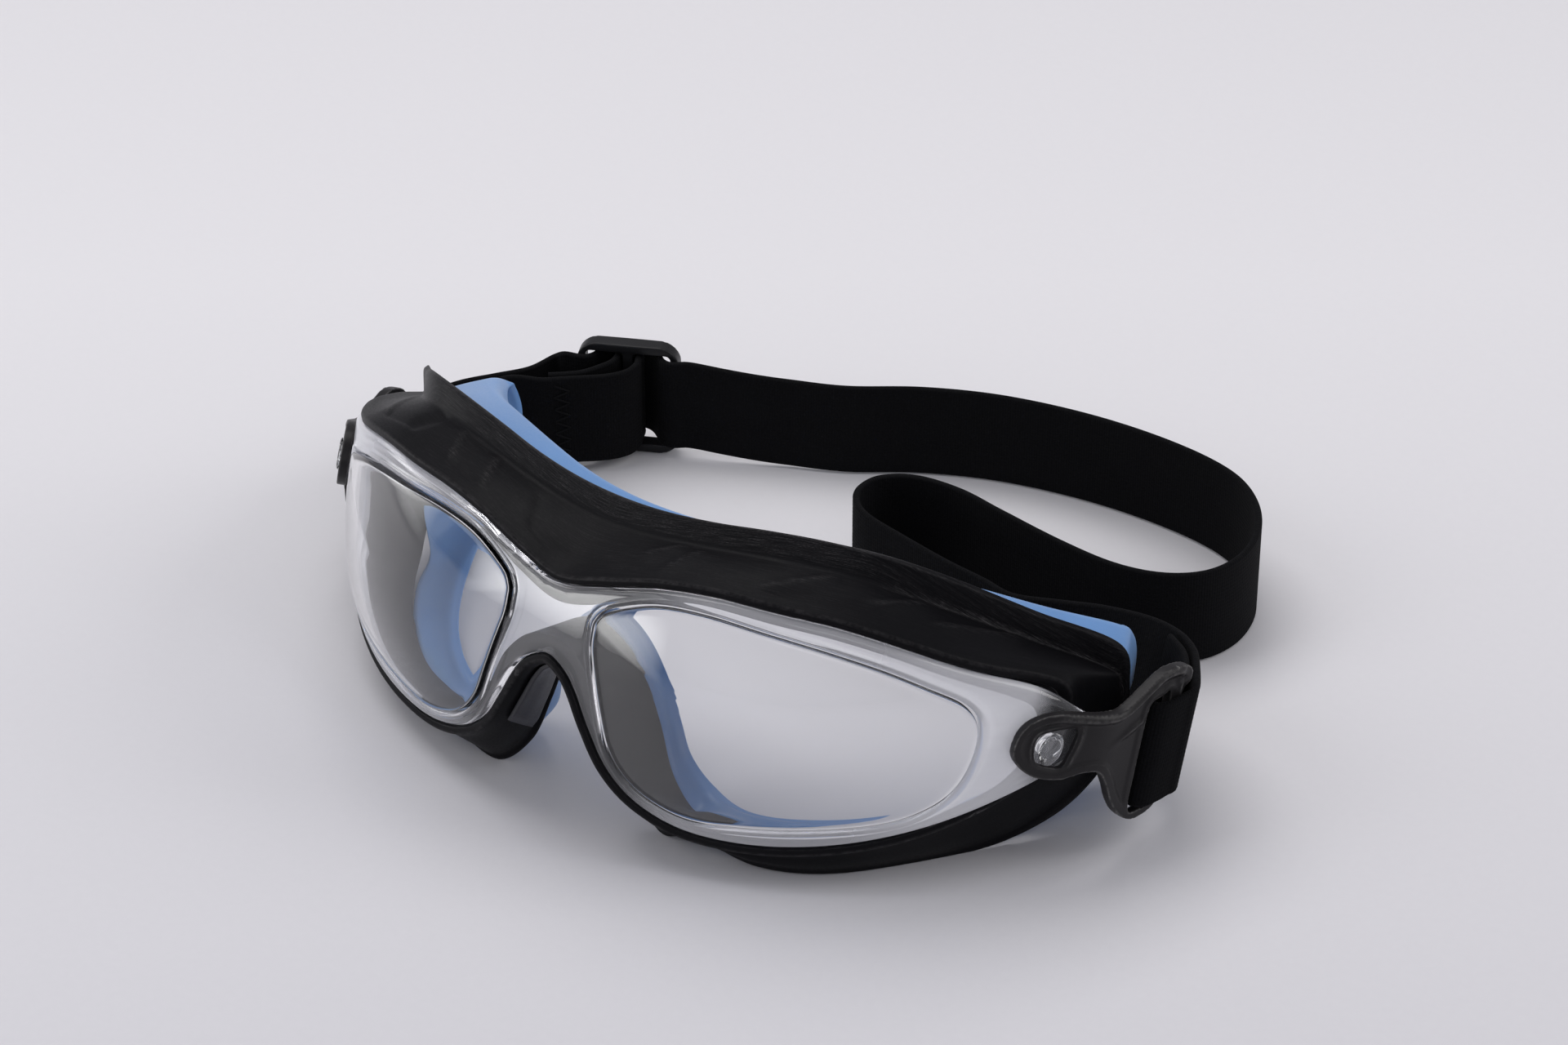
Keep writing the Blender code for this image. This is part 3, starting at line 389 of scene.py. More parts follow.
class Nodes:
    """Small helper round one material's node tree."""

    def __init__(self, name, colour, rough):
        self.material = bpy.data.materials.new(name)
        self.material.use_nodes = True
        self.tree = self.material.node_tree
        self.shader = self.tree.nodes["Principled BSDF"]
        self.set("Base Color", (*colour, 1.0))
        self.set("Roughness", rough)
        self.material.diffuse_color = (*colour, 1.0)
        self.last_bump = None

    def set(self, name, value):
        self.shader.inputs[name].default_value = value

    def new(self, kind, **inputs):
        node = self.tree.nodes.new("ShaderNode" + kind)
        for name, value in inputs.items():
            node.inputs[name].default_value = value
        return node

    def link(self, source, socket):
        self.tree.links.new(source, socket)

    def drive(self, name, source):
        self.link(source, self.shader.inputs[name])

    def coords(self, kind="Object", scale=None):
        """Object coordinates, or the "flow" attribute."""
        if kind == "flow":
            node = self.new("Attribute")
            node.attribute_name = "flow"
            out = node.outputs["Vector"]
        else:
            out = self.new("TexCoord").outputs[kind]
        if scale is not None:
            mapping = self.new("Mapping", Scale=scale)
            self.link(out, mapping.inputs["Vector"])
            out = mapping.outputs["Vector"]
        return out

    def split(self, kind):
        node = self.new("SeparateXYZ")
        self.link(self.coords(kind), node.inputs[0])
        return node.outputs

    def noise(self, scale, detail=4.0, rough=0.55, coords="Object", stretch=None):
        node = self.new("TexNoise", Scale=scale, Detail=detail, Roughness=rough)
        self.link(self.coords(coords, stretch), node.inputs["Vector"])
        return node.outputs["Fac"]

    def flow_wave(self, stretch, distortion=0.0, direction="X"):
        node = self.new("TexWave", Scale=1.0, Distortion=distortion)
        node.bands_direction = direction
        self.link(self.coords("flow", stretch), node.inputs["Vector"])
        return node.outputs["Fac"]

    def ramp(self, fac, stops):
        node = self.new("ValToRGB")
        elements = node.color_ramp.elements
        while len(elements) < len(stops):
            elements.new(0.5)
        for element, (place, colour) in zip(elements, stops):
            element.position = place
            element.color = (*colour, 1.0)
        self.link(fac, node.inputs["Fac"])
        return node.outputs["Color"]

    def remap(self, fac, to, within=(0.0, 1.0)):
        """Maps the range `within` onto the range `to`."""
        node = self.new("MapRange", **{"From Min": within[0], "From Max": within[1],
                                       "To Min": to[0], "To Max": to[1]})
        self.link(fac, node.inputs["Value"])
        return node.outputs["Result"]

    def mix(self, fac, first, second):
        node = self.new("Mix")
        node.data_type = "RGBA"
        self.link(fac, node.inputs[0])
        for value, socket in ((first, node.inputs[6]), (second, node.inputs[7])):
            if isinstance(value, tuple):
                socket.default_value = (*value, 1.0)
            else:
                self.link(value, socket)
        return node.outputs[2]

    def math(self, operation, first, second):
        return math_node(self.tree, operation, first, second)

    def bump(self, height, distance, strength):
        """Adds one bump layer, in metres of height."""
        node = self.new("Bump", Strength=strength, Distance=distance)
        self.link(height, node.inputs["Height"])
        if self.last_bump is not None:
            self.link(self.last_bump, node.inputs["Normal"])
        self.last_bump = node.outputs["Normal"]
        self.drive("Normal", self.last_bump)

    def edge(self, within):
        """0 in flats, 1 on sharp outer edges, used for wear and painted highlight."""
        node = self.new("NewGeometry")
        return self.remap(node.outputs["Pointiness"], to=(0.0, 1.0), within=within)

    def join_shaders(self, node, *sources):
        """Feeds a mix shader its factor and two shaders."""
        for source, socket in zip(sources, node.inputs):
            self.link(source, socket)
        return node.outputs[0]


def rubber_material(name, colour, light, rough, grain, streak_and_sheen=0.0, edge_band=(0.53, 0.60),
                    edge_lighten=0.5, spec=0.2):
    """Grained black moulding, lighter on sharp edges from wear and painted highlight; grain is its
    bump in metres.
    """
    mat = Nodes(name, colour, rough)
    cloud = mat.noise(scale=38.0, detail=3.0)
    fine = mat.noise(scale=2600.0, detail=3.0, rough=0.6)
    speck = mat.noise(scale=900.0, detail=2.0, rough=0.7)
    base = mat.ramp(cloud, [(0.3, scaled(colour, 0.82)), (0.7, scaled(colour, 1.18))])
    base = mat.mix(mat.remap(fine, to=(0.0, 0.35), within=(0.35, 0.75)),
                   base, scaled(colour, 1.35))
    # sharp edges lighter in speckles: part wear, part painted highlight
    edge = mat.edge(edge_band)
    patchy = mat.math("MULTIPLY", edge, mat.remap(speck, to=(0.15, 1.0), within=(0.35, 0.65)))
    base = mat.mix(mat.math("MULTIPLY", patchy, edge_lighten), base, light)
    if streak_and_sheen:
        # lighter streaks along the carrier, as strong as the flow's third value, which also carries
        # painted highlight on the feather fold tips
        lines = mat.noise(scale=1.0, detail=3.0, rough=0.6, coords="flow", stretch=(0.25, 9.0, 1.0))
        dots = mat.noise(scale=1.0, detail=2.0, rough=0.6, coords="flow", stretch=(2.2, 6.0, 1.0))
        amount = mat.math("MULTIPLY", mat.remap(lines, to=(0.0, 1.0), within=(0.45, 0.75)),
                          mat.remap(dots, to=(0.2, 1.0), within=(0.4, 0.7)))
        strength = mat.split("flow")[2]
        amount = mat.math("MULTIPLY", mat.math("MULTIPLY", amount, streak_and_sheen), strength)
        base = mat.mix(amount, base, light)
        mat.bump(lines, distance=0.00003, strength=0.35)
    mat.drive("Base Color", base)
    broad = mat.remap(cloud, to=(rough - 0.06, rough + 0.06), within=(0.3, 0.7))
    mat.drive("Roughness",
              mat.math("ADD", broad, mat.remap(fine, to=(-0.06, 0.06), within=(0.3, 0.7))))
    mat.bump(fine, distance=grain, strength=0.6)
    mat.bump(mat.noise(scale=260.0, detail=3.0), distance=grain * 2.0, strength=0.25)
    mat.set("Specular IOR Level", spec)
    return mat.material


def clear_material(name, tint, rough, painted_reflection=0.0):
    """Clear plastic with faint smears; the last argument mixes in a white diffuse as painted
    reflection, as strong as the flow's first value.
    """
    mat = Nodes(name, tint, rough)
    mat.set("Transmission Weight", 1.0)
    mat.set("IOR", 1.52)
    smear = mat.noise(scale=24.0, detail=4.0, rough=0.6, stretch=(1.0, 1.0, 3.0))
    dust = mat.noise(scale=900.0, detail=2.0, rough=0.6)
    smeared = mat.remap(smear, to=(rough * 0.5, rough * 2.0), within=(0.35, 0.7))
    mat.drive("Roughness",
              mat.math("ADD", smeared, mat.remap(dust, to=(0.0, 0.02), within=(0.62, 0.75))))
    brighter = tuple(min(1.0, c * 1.01) for c in tint)
    mat.drive("Base Color", mat.ramp(smear, [(0.35, tint), (0.7, brighter)]))
    mat.bump(mat.noise(scale=16.0, detail=2.0), distance=0.00006, strength=0.12)
    # light passes straight through for shadows and soft bounces
    path = mat.new("LightPath")
    through = mat.math("MAXIMUM", path.outputs["Is Shadow Ray"], path.outputs["Is Diffuse Ray"])
    see_through = mat.new("BsdfTransparent", Color=(0.93, 0.935, 0.95, 1.0))
    final = mat.new("MixShader")
    body = mat.shader.outputs[0]
    if painted_reflection:
        # painted reflection: a white diffuse mixed in stands for the bright reflections along the
        # thick edges, fading towards the bridge
        reflection_paint = mat.new("BsdfDiffuse", Color=(0.93, 0.93, 0.96, 1.0))
        strength = mat.split("flow")[0]
        reflection_mix = mat.new("MixShader")
        amount = mat.math("MULTIPLY", mat.math("MULTIPLY", strength, painted_reflection),
                          mat.remap(smear, to=(0.85, 1.1), within=(0.3, 0.7)))
        body = mat.join_shaders(reflection_mix, amount, body, reflection_paint.outputs[0])
    mat.link(mat.join_shaders(final, through, body, see_through.outputs[0]),
             mat.tree.nodes["Material Output"].inputs["Surface"])
    return mat.material


def seal_material():
    mat = Nodes("seal_elastomer", colour=(0.12, 0.28, 0.58), rough=0.42)
    cloud = mat.noise(scale=30.0, detail=3.0)
    fine = mat.noise(scale=2200.0, detail=3.0, rough=0.6)
    base = mat.ramp(cloud, [(0.3, (0.105, 0.255, 0.54)), (0.7, (0.14, 0.31, 0.62))])
    # painted highlight: the seal's sharp edges turn a lighter blue
    painted_highlight = mat.math("MULTIPLY", mat.edge((0.52, 0.60)), 0.45)
    mat.drive("Base Color", mat.mix(painted_highlight, base, (0.27, 0.48, 0.80)))
    mat.drive("Roughness", mat.remap(fine, to=(0.36, 0.50), within=(0.3, 0.7)))
    mat.set("Subsurface Weight", 0.25)
    mat.set("Subsurface Radius", (0.3, 0.6, 1.0))
    mat.set("Subsurface Scale", 0.0016)
    mat.set("Sheen Weight", 0.15)
    mat.bump(fine, distance=0.000012, strength=0.5)
    mat.bump(mat.noise(scale=300.0, detail=3.0), distance=0.00003, strength=0.25)
    return mat.material


def elastic_material(name, colour):
    """Knitted elastic: picks cross the strap every half millimetre."""
    mat = Nodes(name, colour, rough=0.85)
    picks = mat.flow_wave(stretch=(0.62, 0.0, 0.0))
    knit = mat.flow_wave(stretch=(0.31, 0.42, 0.0), distortion=0.6, direction="DIAGONAL")
    fuzz = mat.noise(scale=1.0, detail=4.0, rough=0.65, coords="flow", stretch=(3.0, 3.0, 1.0))
    blotch = mat.noise(scale=1.0, detail=3.0, rough=0.5, coords="flow", stretch=(0.06, 0.2, 1.0))
    base = mat.ramp(fuzz, [(0.3, scaled(colour, 0.6)), (0.72, scaled(colour, 1.9))])
    base = mat.mix(mat.remap(blotch, to=(0.0, 0.35), within=(0.4, 0.7)),
                   base, scaled(colour, 1.6))
    mat.drive("Base Color", base)
    mat.set("Sheen Weight", 0.01)
    mat.set("Sheen Roughness", 0.5)
    mat.set("Specular IOR Level", 0.06)
    mat.bump(picks, distance=0.00007, strength=0.6)
    mat.bump(knit, distance=0.00005, strength=0.5)
    mat.bump(fuzz, distance=0.00004, strength=0.5)
    return mat.material


def floor_material():
    """Paper with painted light falloff: darker near the viewer, brightest in the middle, a little
    darker far away.
    """
    near, middle, far = (0.63, 0.622, 0.655), (0.775, 0.765, 0.785), (0.725, 0.715, 0.735)
    mat = Nodes("floor_paper", colour=(0.70, 0.69, 0.74), rough=0.7)
    place = mat.split("Object")
    distance = mat.math("ADD", mat.math("MULTIPLY", place[0], FLOOR_DIR[0]),
                        mat.math("MULTIPLY", place[1], FLOOR_DIR[1]))
    # painted light: brightness changes with distance from the viewer
    shade = mat.ramp(mat.remap(distance, to=(0.0, 1.0), within=(-0.25, 0.45)),
                     [(0.0, near), (0.55, middle), (1.0, far)])
    paper = mat.noise(scale=600.0, detail=3.0, rough=0.6)
    shade = mat.mix(mat.remap(paper, to=(0.0, 0.04), within=(0.3, 0.7)), shade, (1.0, 1.0, 1.0))
    mat.drive("Base Color", shade)
    mat.drive("Roughness", mat.remap(paper, to=(0.6, 0.75), within=(0.3, 0.7)))
    mat.bump(paper, distance=0.00002, strength=0.2)
    mat.set("Specular IOR Level", 0.3)
    return mat.material


# ------------------------------------------------------------- clear front
front_outline = smooth([EAR_TAB.get(i, p) for i, p in enumerate(OUTER)], FINE, mirrored=True)
eye_outline = smooth(EYE, FINE, closed=True)


def edge_distance(points, line):
    """Distance from 2-D points to a polyline."""
    out = np.full(len(points), 1e9)
    for start, span in zip(line[:-1], line[1:] - line[:-1]):
        offset = points - start
        t = np.clip((offset @ span) / max(span @ span, 1e-12), 0, 1)
        out = np.minimum(out, np.linalg.norm(offset - t[:, None] * span, axis=1))
    return out


def clear_front():
    """Ring of clear plastic with rolled outer edge and a raised bead round each eye."""
    arch, top = OUTER[-1][1], OUTER[0][1]
    t = np.arange(1, 3 * FINE) / (3 * FINE)
    bridge = np.stack([np.zeros(len(t)), arch + (top - arch) * 0.5 * (1 - np.cos(np.pi * t))], 1)
    rim = np.vstack([front_outline, bridge])
    hole = eye_outline
    count = len(rim)
    # distances of the mesh rows from the outer edge and from the eye
    near_rim = [0.0, 0.12, 0.3, 0.55, 0.85, 1.2, 1.6]
    near_eye = [1.75, 1.45, 1.2, 1.0, 0.75, 0.45, 0.22, 0.08, 0.0]
    flat = []
    for i, width in enumerate(np.linalg.norm(rim - hole, axis=1)):
        squeeze = min(1.0, width / 3.5)
        first = [d * squeeze / width for d in near_rim]
        last = [1 - d * squeeze / width for d in near_eye]
        middle = [first[-1] + (last[0] - first[-1]) * share for share in (0.2, 0.4, 0.6, 0.8)]
        row = first + middle + last
        flat += [rim[i] * (1 - f) + hole[i] * f for f in row]
    m = len(row)
    flat = np.array(flat)
    to_rim = edge_distance(flat, front_outline)
    to_eye = edge_distance(flat, close(hole))
    front_depth = 0.9 * np.clip(1 - to_rim / 1.1, 0, 1) ** 2.2
    bead = -0.30 * np.exp(-((to_eye - 0.75) / 0.42) ** 2)
    front_depth = front_depth + bead + 0.35 * np.clip(1 - to_eye / 0.25, 0, 1) ** 2
    back_depth = (FRONT_T - 0.5 * np.clip(1 - to_rim / 0.6, 0, 1) ** 2.2
                  - 0.25 * np.clip(1 - to_eye / 0.3, 0, 1) ** 2)
    central = np.abs(flat[:, 0]) < 1e-6
    # strength of the painted reflection, a white diffuse mixed into the clear: grows sideways,
    # fades again at the ear tab
    reflection_paint = [(0.03 + 0.20 * step(x, 14, 28) + 0.16 * step(x, 50, 66))
            * (1 - 0.9 * step(x, 73.5, 76.5)) for x, _ in flat]
    points, faces, flow = [], [], []
    for side in (1, -1):
        for depth in (front_depth, back_depth):
            for q, (x, z) in enumerate(flat):
                p = front_point(x, z, depth[q])
                points.append((0.0 if central[q] else side * p[0], p[1], p[2]))
                flow.append((reflection_paint[q], 0.0, 0.0))
    block = len(flat)
    for o in (0, 2 * block):
        for i in range(count):
            j = (i + 1) % count
            a, b = o + i * m, o + j * m
            for k in range(m - 1):
                faces.append((a + k, b + k, b + k + 1, a + k + 1))
                faces.append((block + a + k, block + a + k + 1, block + b + k + 1, block + b + k))
            faces.append((a + m - 1, b + m - 1, block + b + m - 1, block + a + m - 1))
            if not (abs(rim[i][0]) < 1e-6 and abs(rim[j][0]) < 1e-6):
                faces.append((a, block + a, block + b, b))
    # the two halves share their middle points
    home, index, kept, kept_flow = {}, [], [], []
    for q, p in enumerate(points):
        key = tuple(round(c, 6) for c in p) if p[0] == 0.0 else q
        if key not in home:
            home[key] = len(kept)
            kept.append(p)
            kept_flow.append(flow[q])
        index.append(home[key])
    return kept, [tuple(index[v] for v in f) for f in faces], kept_flow


def lens(side):
    """Domed lens, stepped back a gap inside its opening, with an eased rim."""
    loop, centre = eye_outline, LENS_CENTRE
    n = len(loop)
    tangent = np.roll(loop, -1, 0) - np.roll(loop, 1, 0)
    inward = np.stack([tangent[:, 1], -tangent[:, 0]], 1)
    inward /= np.linalg.norm(inward, axis=1)[:, None]
    inward *= np.sign(((centre - loop) * inward).sum(1).mean())
    edge = loop + inward * GAP
    # eased rim as (inset, step back), then the dome in 17 rings;
    # each ring holds its outline, its share of the dome's reach and its step back
    rim_steps = [(0.0, 0.75), (0.03, 0.45), (0.12, 0.2), (0.3, 0.06), (0.6, 0.0)]
    reach, bands = 25.0, 18
    rings = [(edge + inward * inset, 1 - inset / reach, back) for inset, back in rim_steps]
    rim_inset = rim_steps[-1][0]
    base = edge + inward * rim_inset
    for band in range(1, bands):
        share = 1 - (band / bands) ** 1.1
        rings.append((centre + (base - centre) * share, (1 - rim_inset / reach) * share, 0.0))
    points, faces, blocks = [], [], []
    for face in (0, 1):
        start = len(points)
        blocks.append(start)
        for outline, f, back in rings:
            dome = LENS_DOME * (1 - f * f)
            depth = -LENS_PROUD - dome + (LENS_T - back * 0.5 if face else back)
            for x, z in outline:
                p = front_point(x, z, depth)
                points.append((side * p[0], p[1], p[2]))
        p = front_point(*centre, -LENS_PROUD - LENS_DOME + face * LENS_T)
        points.append((side * p[0], p[1], p[2]))
        for r in range(len(rings) - 1):
            a, b = start + r * n, start + (r + 1) * n
            for i in range(n):
                j = (i + 1) % n
                faces.append((a + i, a + j, b + j, b + i))
        last = start + (len(rings) - 1) * n
        for i in range(n):
            faces.append((last + i, last + (i + 1) % n, last + n))
    for i in range(n):
        j = (i + 1) % n
        faces.append((blocks[0] + i, blocks[0] + j, blocks[1] + j, blocks[1] + i))
    return points, faces


# ------------------------------------------------------ carrier, pad, seal
carrier_line, seat_line, crease_line, flange_line, rear_line = (
    smooth(outline, FINE, mirrored=True) for outline in (OUTER, SEAT, CREASE, FLANGE, SEAL_REAR))
rim_back, lip_part, wall_back, wall_t, base_back_by = (
    smooth(values, FINE)[:, 0] for values in (RIM_BACK, LIP_PART, WALL_BACK, WALL_T, BASE_BACK))
STATIONS = len(carrier_line)
edge_out = outward_2d(carrier_line)
rear_out = outward_2d(rear_line[:, (0, 2)])


def centre_ends(i, section):
    """Puts the first and last sections on the middle plane."""
    if i in (0, STATIONS - 1):
        for p in section:
            p[0] = 0.0


def station(i):
    """Carrier section at one station, with its rearward, inward and thickness directions.

    Corners: 0 rim_in, 1 rim_top, 2 rim_low, 3 brow, 4 crease, 5 flange,
    6 flange_back, 7 base_back, 8 wall, 9 seat, 10 under.
    """
    x, z = carrier_line[i]
    normal_x, normal_z = edge_out[i]

    def off_edge(out, depth):
        return front_point(x + out * normal_x, z + out * normal_z, depth)

    back = rim_back[i]
    rim_in = off_edge(GAP, 0.4 + back)
    rim_top = off_edge(RIM_W, -0.1 + back)
    crease, flange = crease_line[i], flange_line[i]
    rim_low = off_edge(RIM_W + 0.9, 1.6 + back)
    seat = front_point(*seat_line[i], FRONT_T + GAP)
    under = off_edge(GAP, FRONT_T + GAP)
    rear = unit(crease - rim_top)
    inward = unit((seat - crease) - np.dot(seat - crease, rear) * rear)
    up = unit(flange - crease)
    thick = unit(rear - np.dot(rear, up) * up)
    brow = (rim_low + crease) / 2 - inward * 0.5
    flange_back = flange + FLANGE_T * thick
    if flange[2] < TABLE + FOOT_RISE:
        flange_back[2] = max(flange[2], TABLE)
    level = unit(rear * (1.0, 1.0, 0.2))
    base_back = crease + (FLANGE_T + 0.1) * thick + 0.5 * inward + base_back_by[i] * level
    wall = crease + wall_t[i] * inward + 0.8 * rear + wall_back[i] * level
    ring = [rim_in, rim_top, rim_low, brow, crease, flange, flange_back, base_back, wall,
            seat, under]
    centre_ends(i, ring)
    return [on_table(p) for p in ring], rear, inward


def feather(s, v, side):
    """Height in mm of the moulded feather folds on the brow, and how much painted highlight their
    tips get.
    """
    height, painted_highlight = 0.0, 0.0
    for fold_side, start_s, start_v, end_s, end_v, relief, softness in FEATHERS:
        if fold_side != side:
            continue
        run_s, run_v = end_s - start_s, end_v - start_v
        length = math.hypot(run_s * FOLD_PITCH, run_v * FOLD_RISE)
        x, y = (s - start_s) * FOLD_PITCH, (v - start_v) * FOLD_RISE
        dir_x, dir_y = run_s * FOLD_PITCH / length, run_v * FOLD_RISE / length
        along = x * dir_x + y * dir_y
        across = x * -dir_y + y * dir_x
        ends = step(along, -1.2, 1.2) * (1 - step(along, length - 1.2, length + 1.2))
        if ends <= 0:
            continue
        # a shingle: rises slowly on one side, drops quickly on the other
        slope = softness if across < 0 else 0.7
        height += relief * math.exp(-(across / slope) ** 2) * ends
        # painted highlight: the raised fold tips are drawn lighter
        if relief > 0:
            painted_highlight += 0.9 * math.exp(-(across / 0.55) ** 2) * ends
    return height, min(painted_highlight, 1.2)


def carrier():
    """Soft moulded carrier: rolled rim, feathered brow, standing flange."""
    rings, flows = {1: [], -1: []}, {1: [], -1: []}
    for i in range(STATIONS):
        s = i / FINE
        ring, _, inward = station(i)
        rim_low, crease = ring[2], ring[4]
        # one radius and one count of extra points for each of the section's corners
        corner = step(s, 6.0, 8.5) * (1 - step(s, 11.0, 13.0))
        radii = [0.2, 0.75, 1.1, 3.5, 0.7 - 0.35 * corner, 0.45, 0.4, 0.6, 0.8, 0.2, 0.15]
        cuts = [1, 1, 8, 8, 5, 1, 3, 1, 2, 1, 1]
        out, tags = rounded(ring, radii, arcs=4, cuts=cuts)
        for side in (1, -1):
            points, flow = [], []
            run, last = 0.0, out[0]
            for p, tag in zip(out, tags):
                ridge_highlight = 0.0
                run += np.linalg.norm(p - last)
                last = p
                on_brow = 2.0 <= tag <= 4.0
                if on_brow:
                    span = np.linalg.norm(crease - rim_low)
                    v = float(np.dot(p - rim_low, unit(crease - rim_low))) / max(span, 1e-6)
                    fold, painted_highlight = feather(s, v, side)
                    fade = step(v, 0.0, 0.1) * (1 - step(v, 0.93, 1.02))
                    p = p - inward * fold * fade
                    ridge_highlight = painted_highlight * fade
                p = on_table(p)
                points.append((side * p[0], p[1], p[2]))
                # strength of the lighter streaks: full on the flange, faint elsewhere; painted
                # highlight on the feather tips is added below
                streak_and_sheen = 1.0 if 4.0 < tag < 6.6 else (0.22 if on_brow else 0.1)
                streak_and_sheen *= 1.0 - 0.55 * step(s, 4.0, 5.5)
                if tag == 4:
                    streak_and_sheen += 1.5 * step(s, 4.8, 6.0) * (1 - step(s, 9.2, 10.2))
                # painted highlight on the feather fold tips, carried in the streak strength
                streak_and_sheen += ridge_highlight
                flow.append((s * FLOW_PITCH, run, streak_and_sheen))
            rings[side].append(points)
            flows[side].append(flow)
    return (*ring_mesh(rings[1] + rings[-1][-2:0:-1]), flatten(flows[1] + flows[-1][-2:0:-1]))


def face_seal():
    """Soft wall from the carrier's rear to the face, with a curled lip."""
    rings, flows = [], []
    for i in range(STATIONS):
        s = i / FINE
        ring, rear, _ = station(i)
        base_back, wall = ring[7:9]
        rear_edge = rear_line[i]
        normal_x, normal_z = rear_out[i]
        into = np.array((-normal_x, 0.0, -normal_z))
        room = GAP * (2.2 + SEAL_EASE * max(0.0, 1 - abs(s - 12.6) / 2.6))
        face = unit(wall - base_back)
        away = unit(rear - np.dot(rear, face) * face)
        front_out = base_back + room * away + room * 0.5 * face
        front_in = wall + room * away - 0.1 * face
        run = unit(rear_edge - front_out)
        swell = (front_out + rear_edge) / 2 - into * 0.3
        lip_back = rear_edge + into * LIP_W * lip_part[i] + np.array((0, 0.9, 0))
        lip_front = lip_back - np.array((0, SEAL_T * 0.7, 0))
        inner = rear_edge + into * SEAL_T - run * SEAL_T
        inner_mid = (front_in + inner) / 2 - into * 0.5
        section = [front_out, swell, rear_edge, lip_back, lip_front, inner, inner_mid, front_in]
        centre_ends(i, section)
        section = [np.array((x, y, max(z, TABLE + SEAL_LIFT))) for x, y, z in section]
        out, tags = rounded(section, [0.5, 4.0, 1.8, 0.6, 0.5, 1.4, 4.0, 0.4], arcs=6,
                            cuts=[3, 3, 3, 1, 3, 3, 3, 1])
        rings.append(out)
        flows.append([(s * FLOW_PITCH, tag * 3.0, 0.0) for tag in tags])
    rings += [mirror(ring) for ring in rings[-2:0:-1]]
    return (*ring_mesh(rings), flatten(flows + flows[-2:0:-1]))


def nose_pad():
    """Saddle lining the nose arch, with a rolled bead at its front edge."""
    rings = []
    first = 18 * FINE + 4
    for i in range(first, STATIONS):
        ring, _, inward = station(i)
        rim_low, brow, crease = ring[2:5]
        out = -inward
        front = rim_low + (brow - rim_low) * 0.25
        back = brow + (crease - brow) * 0.78
        bulge = (front + back) / 2
        pad = PAD_T * (0.35 + 0.65 * step((i - first) / FINE, 0.0, 0.25))
        section = [front + out * GAP, brow + out * (GAP + 0.05), back + out * GAP,
                   back + out * (GAP + pad * 0.7), bulge + out * (GAP + pad),
                   front + out * (GAP + pad * 0.7)]
        centre_ends(i, section)
        points, _ = rounded(section, [0.1, 0.3, 0.1, 0.5, 1.5, 0.5], arcs=5,
                            cuts=[1, 1, 0, 2, 2, 0])
        rings.append(points)
    rings += [mirror(ring) for ring in rings[-2::-1]]
    return ring_mesh(rings, closed=False, caps=True)


# -------------------------------------------------------------- strap clips
def clip_axes(s):
    """Point on the clip's mid-face at distance s, its heading and its face."""
    steps = 40
    head, arm = (math.radians(angle) for angle in CLIP_TURN)
    p = np.array(CLIP_AT, float)
    ds = s / steps

    def direction(distance):
        k = min(max((distance - CLIP_BEND[0]) / CLIP_BEND[1], 0.0), 1.0)
        angle = head + (arm - head) * k * k * (3 - 2 * k)
        return np.array((math.cos(angle), math.sin(angle), 0.0))
    for k in range(steps):
        p = p + ds * direction((k + 0.5) * ds)
    along = direction(s)
    return p, along, unit(np.cross(along, CLIP_UP))


AXES_START, AXES_END, AXES_COUNT = -10, 40, 201
AXES_STEP = (AXES_END - AXES_START) / (AXES_COUNT - 1)
AXES = [clip_axes(s) for s in np.linspace(AXES_START, AXES_END, AXES_COUNT)]


def clip_frame(s):
    """clip_axes, read from the table AXES."""
    k = (s - AXES_START) / AXES_STEP
    i = int(min(max(math.floor(k), 0), AXES_COUNT - 2))
    f = k - i
    p, along, face = (a * (1 - f) + b * f for a, b in zip(AXES[i], AXES[i + 1]))
    return p, unit(along), unit(face)


PIVOT_POINT, _, PIVOT_FACE = clip_axes(PIVOT[0])
HUB = PIVOT_POINT + PIVOT[1] * CLIP_UP


def drop(vector):
    """Turn a vector of the right clip, drawn as the left one, by its drop."""
    angle, axis = math.radians(-RIGHT_DROP), PIVOT_FACE
    return (vector * math.cos(angle) + np.cross(axis, vector) * math.sin(angle)
            + axis * np.dot(axis, vector) * (1 - math.cos(angle)))


def clip_point(s, h, t, side=1):
    """Point on a clip: s along the arm, h up it, t out of its face."""
    p, _, face = clip_frame(s)
    q = p + h * CLIP_UP + t * face
    if side < 0:
        q = HUB + drop(q - HUB)
    return np.array((side * q[0], q[1], q[2]))


RIGHT_UP = drop(CLIP_UP) * (-1, 1, 1)


def flat_solid(loops, thick):
    """Flat plate with holes, as a closed mesh in its own millimetres."""
    bm = bmesh.new()
    edges = []
    for loop in loops:
        verts = [bm.verts.new((x, y, 0)) for x, y in loop]
        edges += [bm.edges.new((verts[i], verts[(i + 1) % len(verts)]))
                  for i in range(len(verts))]
    bmesh.ops.triangle_fill(bm, use_beauty=True, use_dissolve=False, edges=edges,
                            normal=(0, 0, 1))
    made = bmesh.ops.extrude_face_region(bm, geom=bm.faces[:])
    for v in made["geom"]:
        if isinstance(v, bmesh.types.BMVert):
            v.co.z = thick / 2
    for v in bm.verts:
        if v.co.z == 0:
            v.co.z = -thick / 2
    bmesh.ops.recalc_face_normals(bm, faces=bm.faces)
    return bm


